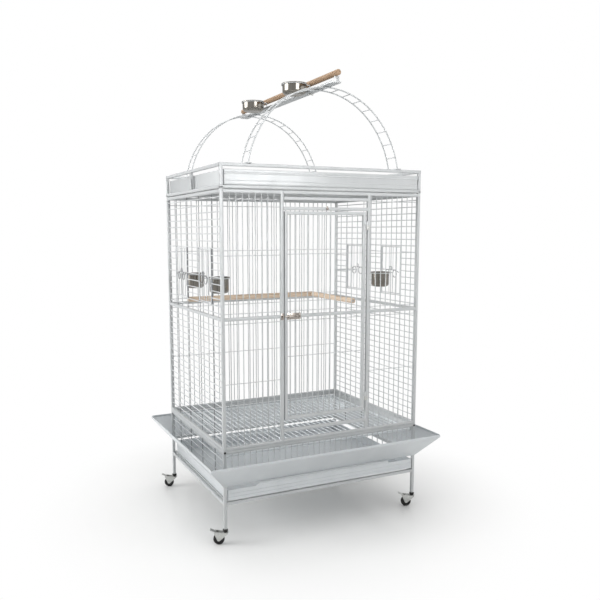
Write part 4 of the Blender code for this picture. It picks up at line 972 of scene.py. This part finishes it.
mesh = bmesh.new()
plate(mesh, (plate_low.x, plate_high.x), (latch_face, plate_high.y), (plate_low.z, plate_high.z), PLATE_EDGE)
for x in (plate_low.x + GUIDE_INSET, plate_high.x - GUIDE_INSET - BAND_WIDTH):
    arched_band(mesh, x)
for x in (plate_low.x + SCREW_IN_X, plate_high.x - SCREW_IN_X):
    for z in (plate_low.z + SCREW_IN_Z, plate_high.z - SCREW_IN_Z):
        screw(mesh, (x, latch_face, z), (0, -1, 0), LATCH_SCREW)
cad_piece("latch_plate", "pressed", mesh, body="front_door", **IN_BRONZE)

mesh = turned([(0, bolt_low.x), (BOLT * 0.6, bolt_low.x), (BOLT, bolt_low.x + BOLT_TIP),
               (BOLT, bolt_high.x), (0, bolt_high.x)], 20)
move(mesh, on_bolt @ Matrix.Rotation(math.pi / 2, 4, "Y"))
reach = bolt_y - bolt_low.y
knob = turned([(0, 0), (BOLT * 0.8, 0), (BOLT * 0.8, reach * 0.45), (KNOB_FLARE, reach * 0.52)]
              + arc((KNOB_FACE, reach - KNOB_ROUND), KNOB_ROUND, -40, 90, 8) + [(0, reach)], 24)
join(mesh, knob, Matrix.Translation((knob_x, bolt_y, MID_RAIL)) @ QUARTER_TURN)
moving_piece("latch_bolt", "turned", mesh, **IN_BRONZE)

mesh = bmesh.new()
plate(mesh, (keeper_low.x, keeper_high.x), (latch_face, keeper_high.y), (keeper_low.z, keeper_high.z),
      PLATE_EDGE)
middle_x = (keeper_low.x + keeper_high.x) / 2
arched_band(mesh, middle_x - BAND_WIDTH / 2)
for z in (keeper_low.z + KEEPER_IN_Z, keeper_high.z - KEEPER_IN_Z):
    screw(mesh, (middle_x, latch_face, z), (0, -1, 0), LATCH_SCREW)
cad_piece("latch_keeper", "pressed", mesh, **IN_BRONZE)


# Feeder doors
# Each bay of a side wall has a small wire door that swings on its outer upright. A ring on two
# arms holds the cup inside, and a catch of wire, curled into scrolls, keeps the door shut.
FEEDER_INSET = 2 * FRAME_WIRE + 0.0015
FEEDER_BARS = 4
RING_RADIUS = 0.0425
RING_DROP = 0.003
CUP_REACH = 0.060
BIG_WELD = 0.003
RING_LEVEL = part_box("side_cup_front_left")[1].z - RING_DROP - BAR
SCROLL_STEPS = 24
SCROLLS = ((0.034, -0.0165), (0.060, 0.0080), (0.092, -0.0165))
SCROLL_LIFT = 0.0036
CATCH_LENGTH, CATCH_DIP = 0.120, 0.010


def wire_ring(mesh, centre, radius):
    """Round wire bent to a level ring."""
    ring = bmesh.new()
    section = Matrix.Translation((radius, 0, 0)) @ QUARTER_TURN
    bmesh.ops.create_circle(ring, segments=10, radius=BAR, matrix=section)
    bmesh.ops.spin(ring, geom=ring.verts[:] + ring.edges[:], cent=(0, 0, 0), axis=(0, 0, 1),
                   angle=2 * math.pi, steps=48, use_merge=True)
    bmesh.ops.recalc_face_normals(ring, faces=ring.faces)
    join(mesh, ring, Matrix.Translation(centre))


def bent_wire(mesh, points, radius):
    """Round wire swept along a line of points, with closed ends."""
    curve = bpy.data.curves.new("bent_wire", "CURVE")
    curve.dimensions = "3D"
    curve.bevel_depth = radius
    curve.bevel_resolution = 3
    curve.use_fill_caps = True
    spline = curve.splines.new("POLY")
    spline.points.add(len(points) - 1)
    for spot, point in zip(spline.points, points):
        spot.co = (*point, 1)
    guide = add_object("bent_wire", curve)
    shape = bpy.data.meshes.new_from_object(guide.evaluated_get(bpy.context.evaluated_depsgraph_get()))
    mesh.from_mesh(shape)
    bpy.data.objects.remove(guide, do_unlink=True)
    bpy.data.meshes.remove(shape)
    bpy.data.curves.remove(curve)


for corner_name, side, outward in CORNERS:
    free = MIDDLE_Y + outward * (BAY_NEAR + FEEDER_INSET)
    hinge = MIDDLE_Y + outward * (BAY_FAR - FEEDER_INSET)
    low, high = BAY_LOW + FEEDER_INSET, BAY_HIGH - FEEDER_INSET
    x = side * POST_X
    mesh = bmesh.new()
    for y in (free, hinge):
        round_bar(mesh, x, y, (low - FRAME_WIRE, high + FRAME_WIRE), FRAME_WIRE)
    for z in (low, high):
        round_bar(mesh, x, (free, hinge), z)
        for y in (free, hinge):
            weld_spot(mesh, (x, y, z), BIG_WELD)
    step = (hinge - free) / (FEEDER_BARS + 1)
    for number in range(FEEDER_BARS):
        round_bar(mesh, x, free + step * (number + 1), (low, high), WIRE)
    ring_x = side * (POST_X - CUP_REACH)
    centre_y = (free + hinge) / 2
    wire_ring(mesh, (ring_x, centre_y, RING_LEVEL), RING_RADIUS)
    ring_edge = ring_x + side * math.sqrt(RING_RADIUS ** 2 - (step / 2) ** 2)
    for y in about(centre_y, step / 2):
        round_bar(mesh, (x, ring_edge), y, RING_LEVEL)
        for end_x in (x, ring_edge):
            weld_spot(mesh, (end_x, y, RING_LEVEL), BIG_WELD)
    catch_x = side * (POST_X + 2 * BAR)
    catch_z = (low + high) / 2
    round_bar(mesh, (x, catch_x + side * BAR), free, catch_z)
    line = [(MIDDLE_Y + outward * (BAY_NEAR - FEEDER_INSET), 0, 0), (free, 0, 0)]
    for order, (middle_u, size) in enumerate(SCROLLS):
        for number in range(SCROLL_STEPS + 1):
            share = number / SCROLL_STEPS
            angle = 2 * math.pi * share
            line.append((free + outward * (middle_u + abs(size) * math.sin(angle)),
                         size * (1 - math.cos(angle)),
                         SCROLL_LIFT * (1 - share if order % 2 else share)))
    line.append((free + outward * CATCH_LENGTH, -CATCH_DIP, SCROLL_LIFT))
    # The catch wire takes the darker coat: painted shade.
    before = len(mesh.faces)
    bent_wire(mesh, [(catch_x + side * lift, y, catch_z + rise) for y, rise, lift in line], WIRE)
    mesh.faces.ensure_lookup_table()
    for face in mesh.faces[before:]:
        face.material_index = ON_PAINTED_SHADE
    moving_piece(f"feeder_door_{corner_name}", "wire", mesh)


# Cups
# Deep cups for the feeder doors and shallow bowls for the play top, spun from stainless sheet
# with a rolled rim that hangs on the ring. Their upright streaks of dark and pale are painted reflection.
# Upright streaks in the steel's colour: painted reflection.
steel = bare_metal("spun_stainless_steel_painted_reflection", "#a9a59d", "#66625c", 0.15, 0.010, (1, 1, 0.08))
CUP_WALL = 0.0011
CUP_RIM = 0.0045
CUP_DISH = 0.0008
RIM_BEAD = 0.0019
DEEP_ROUND, SHALLOW_ROUND = 0.0125, 0.016


def spun_cup(name, rounding):
    """Cup turned from its CAD box: rounded foot, straight wall, rolled rim."""
    low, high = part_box(name)
    rim = (high.x - low.x) / 2
    wall = rim - CUP_RIM
    inner = wall - CUP_WALL
    profile = [(0, low.z + CUP_DISH), (wall * 0.55, low.z + CUP_DISH), (wall * 0.62, low.z)]
    profile += arc((wall - rounding, low.z + rounding), rounding, -90, 0, 6)
    profile += [(wall, high.z - 2 * RIM_BEAD)]
    profile += arc((rim - RIM_BEAD, high.z - RIM_BEAD), RIM_BEAD, -150, 120, 10)
    profile += [(inner, high.z - RIM_BEAD)]
    profile += arc((inner - rounding, low.z + CUP_WALL + rounding), rounding, 0, -90, 6)
    cup = turned(profile + [(0, low.z + CUP_WALL)], 64)
    middle = (low + high) / 2
    move(cup, Matrix.Translation((middle.x, middle.y, 0)))
    moving_piece(name, "spun", cup, finish=steel, slot="stainless_steel", angle=35)


for corner_name in ("front_left", "rear_left", "front_right"):
    spun_cup(f"side_cup_{corner_name}", DEEP_ROUND)
for which in ("front", "rear"):
    spun_cup(f"top_cup_{which}", SHALLOW_ROUND)


# Perches
# Turned hardwood dowels, sanded and left bare, with softened ends that show the rings. The two
# in the body are bleached pale, and the top one has weathered darker.
GRAIN_LENGTH = 0.090
GRAIN_WIDTH = 0.0035
PORE_WIDTH = 0.0009
RING_SCALE = 170.0
BLEACHED = ("#e1cdb6", "#d9c3ac", "#cfb69d", "#b39981")
WEATHERED = ("#b3977c", "#a5886c", "#94785d", "#7c6148")


def hardwood(name, axis, centre, tones):
    """Bare dowel of light hardwood: streaks along the grain, dark pores, rings on the ends."""
    pale, middling, deep, dark = [linear(tone) for tone in tones]
    wood, tree, place = new_material(name)
    middle = add_node(tree, "Mapping", {"Vector": place, "Location": [-c for c in centre]})
    squeeze, flat = [1.0] * 3, [1.0] * 3
    squeeze[axis], flat[axis] = GRAIN_WIDTH / GRAIN_LENGTH, 0.0
    along = add_node(tree, "Mapping", {"Vector": middle, "Scale": squeeze})
    across = add_node(tree, "Mapping", {"Vector": middle, "Scale": flat})
    streak = noise(tree, along, GRAIN_WIDTH, 5.0, 0.4)
    pores = noise(tree, along, PORE_WIDTH, 2.0)
    rings = add_node(tree, "TexWave", {"Vector": across, "Scale": RING_SCALE, "Distortion": 1.2,
                                       "Detail": 2.0}, wave_type="RINGS", rings_direction="SPHERICAL")
    tone = add_node(tree, "MapRange", {0: streak, 1: 0.32, 2: 0.68})
    ringed = blend(tree, rings.outputs["Fac"], blend(tree, tone, pale, deep), middling)
    pitted = add_node(tree, "MapRange", {0: pores, 1: 0.60, 2: 0.72, 4: 0.30})
    matt = add_node(tree, "MapRange", {0: streak, 3: 0.48, 4: 0.62})
    add_skin(tree, {"Base Color": blend(tree, pitted, ringed, dark), "Roughness": matt,
                    "Normal": relief(tree, pores, 0.35, 0.0003), "IOR": 1.5})
    return wood


for node, axis, tones in (("low_perch_long", 0, BLEACHED), ("low_perch_cross", 1, BLEACHED),
                          ("top_perch", 1, WEATHERED)):
    low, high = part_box(node)
    centre = (low + high) / 2
    radius = (high.z - low.z) / 2
    half = (high[axis] - low[axis]) / 2
    bevel = radius * 0.22
    profile = [(0, -half)] + arc((radius - bevel, -half + bevel), bevel, -90, 0)
    profile += [(radius, step) for step in (-half / 3, half / 3)]
    profile += arc((radius - bevel, half - bevel), bevel, 0, 90) + [(0, half)]
    dowel = turned(profile, 40)
    turn = Matrix.Rotation(math.pi / 2, 4, "Y") if axis == 0 else Matrix.Rotation(-math.pi / 2, 4, "X")
    move(dowel, Matrix.Translation(centre) @ turn)
    cad_piece(node, "dowel", dowel, finish=hardwood(f"bare_hardwood_{node}", axis, centre, tones),
              slot="turned_hardwood", angle=35)


# Play top
# Two rectangles of square tube hold a pull-out tray between them: the lower one stands on
# short feet on the body, the rim on six posts. Two rolls stiffen the tray's front.
FRONT_PLATE = 0.0009
PLATE_STRIPS = ((0.0003, 0.0175), (0.0450, None))
PLATE_ROLLS = ((0.0175, 0.0012), (0.0435, 0.0020))
frame_low, frame_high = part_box("play_top_frame")
rim_low, rim_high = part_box("play_top_rim")
PLAY_FRAME = frame_high.z - HALF_TUBE
PLAY_RIM = rim_high.z - HALF_TUBE
for node, z, post_low, post_top, places in (
        ("play_top_frame", PLAY_FRAME, frame_low.z, PLAY_FRAME, (FRONT_Y, REAR_Y)),
        ("play_top_rim", PLAY_RIM, rim_low.z, PLAY_RIM - HALF_TUBE + EMBED, (FRONT_Y, MIDDLE_Y, REAR_Y))):
    mesh = bmesh.new()
    for y in (FRONT_Y, REAR_Y):
        cross_tube(mesh, y, z, POST_X + HALF_TUBE)
    for x in (-POST_X, POST_X):
        square_tube(mesh, x, LET_IN, z)
        for y in places:
            square_tube(mesh, x, y, (post_low, post_top))
    cad_piece(node, "welded", mesh)

pan_low, pan_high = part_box("play_top_tray")
mesh = bmesh.new()
folded_pan(mesh, pan_low, pan_high, TRAY_SHEET)
for first, last in PLATE_STRIPS:
    top = pan_high.z if last is None else pan_low.z + last
    plate(mesh, (pan_low.x, pan_high.x), (pan_low.y - FRONT_PLATE, pan_low.y + BITE),
          (pan_low.z + first, top))
for rise, radius in PLATE_ROLLS:
    round_bar(mesh, (pan_low.x + END_INSET, pan_high.x - END_INSET), pan_low.y - FRONT_PLATE,
              pan_low.z + rise, radius)
moving_piece("play_top_tray", "pan", mesh, slot="sheet_powder_coat", angle=35)


# Ladder arches
# Two arched wires with welded rungs stand at the front and at the back, each foot on a small
# plate screwed to the rim.
ARCH_WIRE = 0.0028
ARCH_SPACING = 0.065
ARCH_RISE = 0.3045
ARCH_SINK = 0.0745
ARCH_HALF_SPAN = 0.340
ARCH_RUNGS = 17
FIRST_RUNG = math.radians(7.5)
ARCH_STEPS = 64
FOOT_LENGTH, FOOT_WIDTH, FOOT_THICKNESS = 0.088, 0.022, 0.003
SHEET_EDGE = 0.0008
foot_z = rim_high.z + GAP
arch_start = math.asin(ARCH_SINK / (ARCH_RISE + ARCH_SINK))
arch_turn = math.pi - 2 * arch_start
first_rung = arch_start + FIRST_RUNG


def arch_point(angle, y):
    """Point of an arch wire on its ellipse."""
    across = ARCH_HALF_SPAN / math.cos(arch_start)
    return Vector((across * math.cos(angle), y,
                   foot_z + FOOT_THICKNESS / 3 - ARCH_SINK + (ARCH_RISE + ARCH_SINK) * math.sin(angle)))


for node, y in (("front_arch", FRONT_Y), ("rear_arch", REAR_Y)):
    mesh = bmesh.new()
    lines = (y, y + ARCH_SPACING)
    for line in lines:
        bent_wire(mesh, [arch_point(arch_start + arch_turn * step / ARCH_STEPS, line)
                         for step in range(ARCH_STEPS + 1)], ARCH_WIRE)
    bmesh.ops.remove_doubles(mesh, verts=mesh.verts, dist=SAME_PLACE)
    for number in range(ARCH_RUNGS):
        angle = first_rung + (math.pi - 2 * first_rung) * number / (ARCH_RUNGS - 1)
        spots = [arch_point(angle, line) for line in lines]
        round_bar(mesh, spots[0].x, lines, spots[0].z)
        for spot in spots:
            weld_spot(mesh, spot, ARCH_WIRE * 1.15)
    middle = (lines[0] + lines[1]) / 2
    for x in (-ARCH_HALF_SPAN, ARCH_HALF_SPAN):
        plate(mesh, about(x, FOOT_WIDTH / 2), about(middle, FOOT_LENGTH / 2),
              (foot_z, foot_z + FOOT_THICKNESS), SHEET_EDGE)
    cad_piece(node, "welded", mesh)


# Carrier strip and cup holders
# A lipped strip of sheet lies over both arches and carries the top perch on two end tabs. Two
# wire rings bolted to it hold the bowls.
strip_low, strip_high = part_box("perch_strip")
STRIP_SHEET = 0.0015
STRIP_LIP, STRIP_EDGE = 0.008, 0.0006
TAB_HALF, TAB_THICKNESS = 0.011, 0.003
TOP_RING = 0.051
strip_y = (strip_low.y, strip_high.y)
mesh = bmesh.new()
plate(mesh, (strip_low.x, strip_high.x), strip_y, (strip_low.z, strip_low.z + STRIP_SHEET))
for x, inward in ((strip_low.x, 1), (strip_high.x, -1)):
    plate(mesh, (x, x + inward * STRIP_SHEET), strip_y, (strip_low.z, strip_low.z + STRIP_LIP), STRIP_EDGE)
for y, inward in ((strip_low.y, 1), (strip_high.y, -1)):
    plate(mesh, about(0, TAB_HALF), (y, y + inward * TAB_THICKNESS), (strip_low.z, strip_high.z), SHEET_EDGE)
cad_piece("perch_strip", "folded", mesh, slot="sheet_powder_coat", angle=40)

for which in ("front", "rear"):
    holder_low, holder_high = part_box(f"top_cup_holder_{which}")
    bowl = box_middle(f"top_cup_{which}")
    ring_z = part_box(f"top_cup_{which}")[1].z - RING_DROP - BAR
    inner = holder_high.x
    step = TOP_RING / 3
    mesh = bmesh.new()
    plate(mesh, (-inner, inner), about(bowl.y, step + 2 * BAR),
          (holder_low.z, holder_low.z + STRIP_SHEET))
    wire_ring(mesh, (bowl.x, bowl.y, ring_z), TOP_RING)
    edge = bowl.x + math.sqrt(TOP_RING ** 2 - step ** 2)
    foot_x = -inner + 2 * BAR
    for y in about(bowl.y, step):
        round_bar(mesh, foot_x, y, (holder_low.z + STRIP_SHEET / 2, ring_z))
        round_bar(mesh, (foot_x, edge), y, ring_z)
        weld_spot(mesh, (foot_x, y, ring_z), BAR * 1.02)
        weld_spot(mesh, (edge, y, ring_z), BIG_WELD)
    cad_piece(f"top_cup_holder_{which}", "wire", mesh)


# Bolts, screws and wing nuts
# The body is bolted to the stand at its corners, small screws hold the arches, tabs and perches,
# wing nuts clamp the cup holders, and a turn button on the header holds the door's top.
WASHER_AND_HEAD = ((0.0006, 0.0046, 24), (0.0030, 0.0034, 6))
FOOT_SCREW, TAB_SCREW, PERCH_SCREW = 0.0030, 0.0038, 0.0045
FOOT_SCREW_INSET = 0.005
NUT_RADIUS, NUT_DEPTH = 0.0038, 0.007
WING_X, WING_Z, WING_SHEET, WING_EDGE = (0.003, 0.013), (0.0095, 0.002), 0.0012, 0.0009
BUTTON_STEM = [(0, 0), (0.0040, 0), (0.0040, 0.0015), (0.0028, 0.0022), (0.0028, 0.0045)]
BUTTON_DOME, BUTTON_TOP = (0.0022, 0.0065), 0.0087
BUTTON_HALF, BUTTON_SHEET, BUTTON_DOWN, BUTTON_UP = 0.0035, (0.0022, 0.0004), 0.0060, 0.010
mesh = bmesh.new()
for x in (-POST_X, POST_X):
    for y, outward in ((FRONT_Y, -1), (REAR_Y, 1)):
        face = y + outward * HALF_TUBE
        for reach, radius, sides in WASHER_AND_HEAD:
            round_bar(mesh, x, (face, face + outward * reach), TOP_RAIL, radius, sides)
shown_piece("corner_bolts", mesh, finish=race_steel, slot="dark_bronze", angle=35)

mesh = bmesh.new()
for y in (FRONT_Y, REAR_Y):
    for x in (-ARCH_HALF_SPAN, ARCH_HALF_SPAN):
        for shift in (-1, 1):
            screw_y = y + ARCH_SPACING / 2 + shift * (FOOT_LENGTH / 2 - FOOT_SCREW_INSET)
            screw(mesh, (x, screw_y, foot_z + FOOT_THICKNESS), (0, 0, 1), FOOT_SCREW)
for y, outward in ((strip_low.y, -1), (strip_high.y, 1)):
    screw(mesh, (0, y, box_middle("top_perch").z), (0, outward, 0), TAB_SCREW)
cross = box_middle("low_perch_cross")
screw(mesh, (cross.x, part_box("low_perch_cross")[0].y, cross.z), (0, -1, 0), PERCH_SCREW)
for which in ("front", "rear"):
    nut_y, nut_z = box_middle(f"top_cup_{which}").y, strip_low.z
    round_bar(mesh, 0, nut_y, (nut_z, nut_z - NUT_DEPTH), NUT_RADIUS, 16)
    for side in (-1, 1):
        plate(mesh, [side * x for x in WING_X], about(nut_y, WING_SHEET), [nut_z - z for z in WING_Z],
              WING_EDGE)
shown_piece("screws_and_wing_nuts", mesh, finish=zinc, slot="bright_zinc", angle=35)

mesh = bmesh.new()
button = Vector((0, FRONT_Y - HALF_TUBE, HEADER_LOW))
join(mesh, turned(BUTTON_STEM + arc(BUTTON_DOME, BUTTON_DOME[0], -60, 90, 6) + [(0, BUTTON_TOP)], 24),
     Matrix.Translation(button) @ QUARTER_TURN)
plate(mesh, about(0, BUTTON_HALF), [button.y - depth for depth in BUTTON_SHEET],
      (button.z - BUTTON_DOWN, button.z + BUTTON_UP), SHEET_EDGE)
shown_piece("door_turn_button", mesh, **IN_BRONZE)
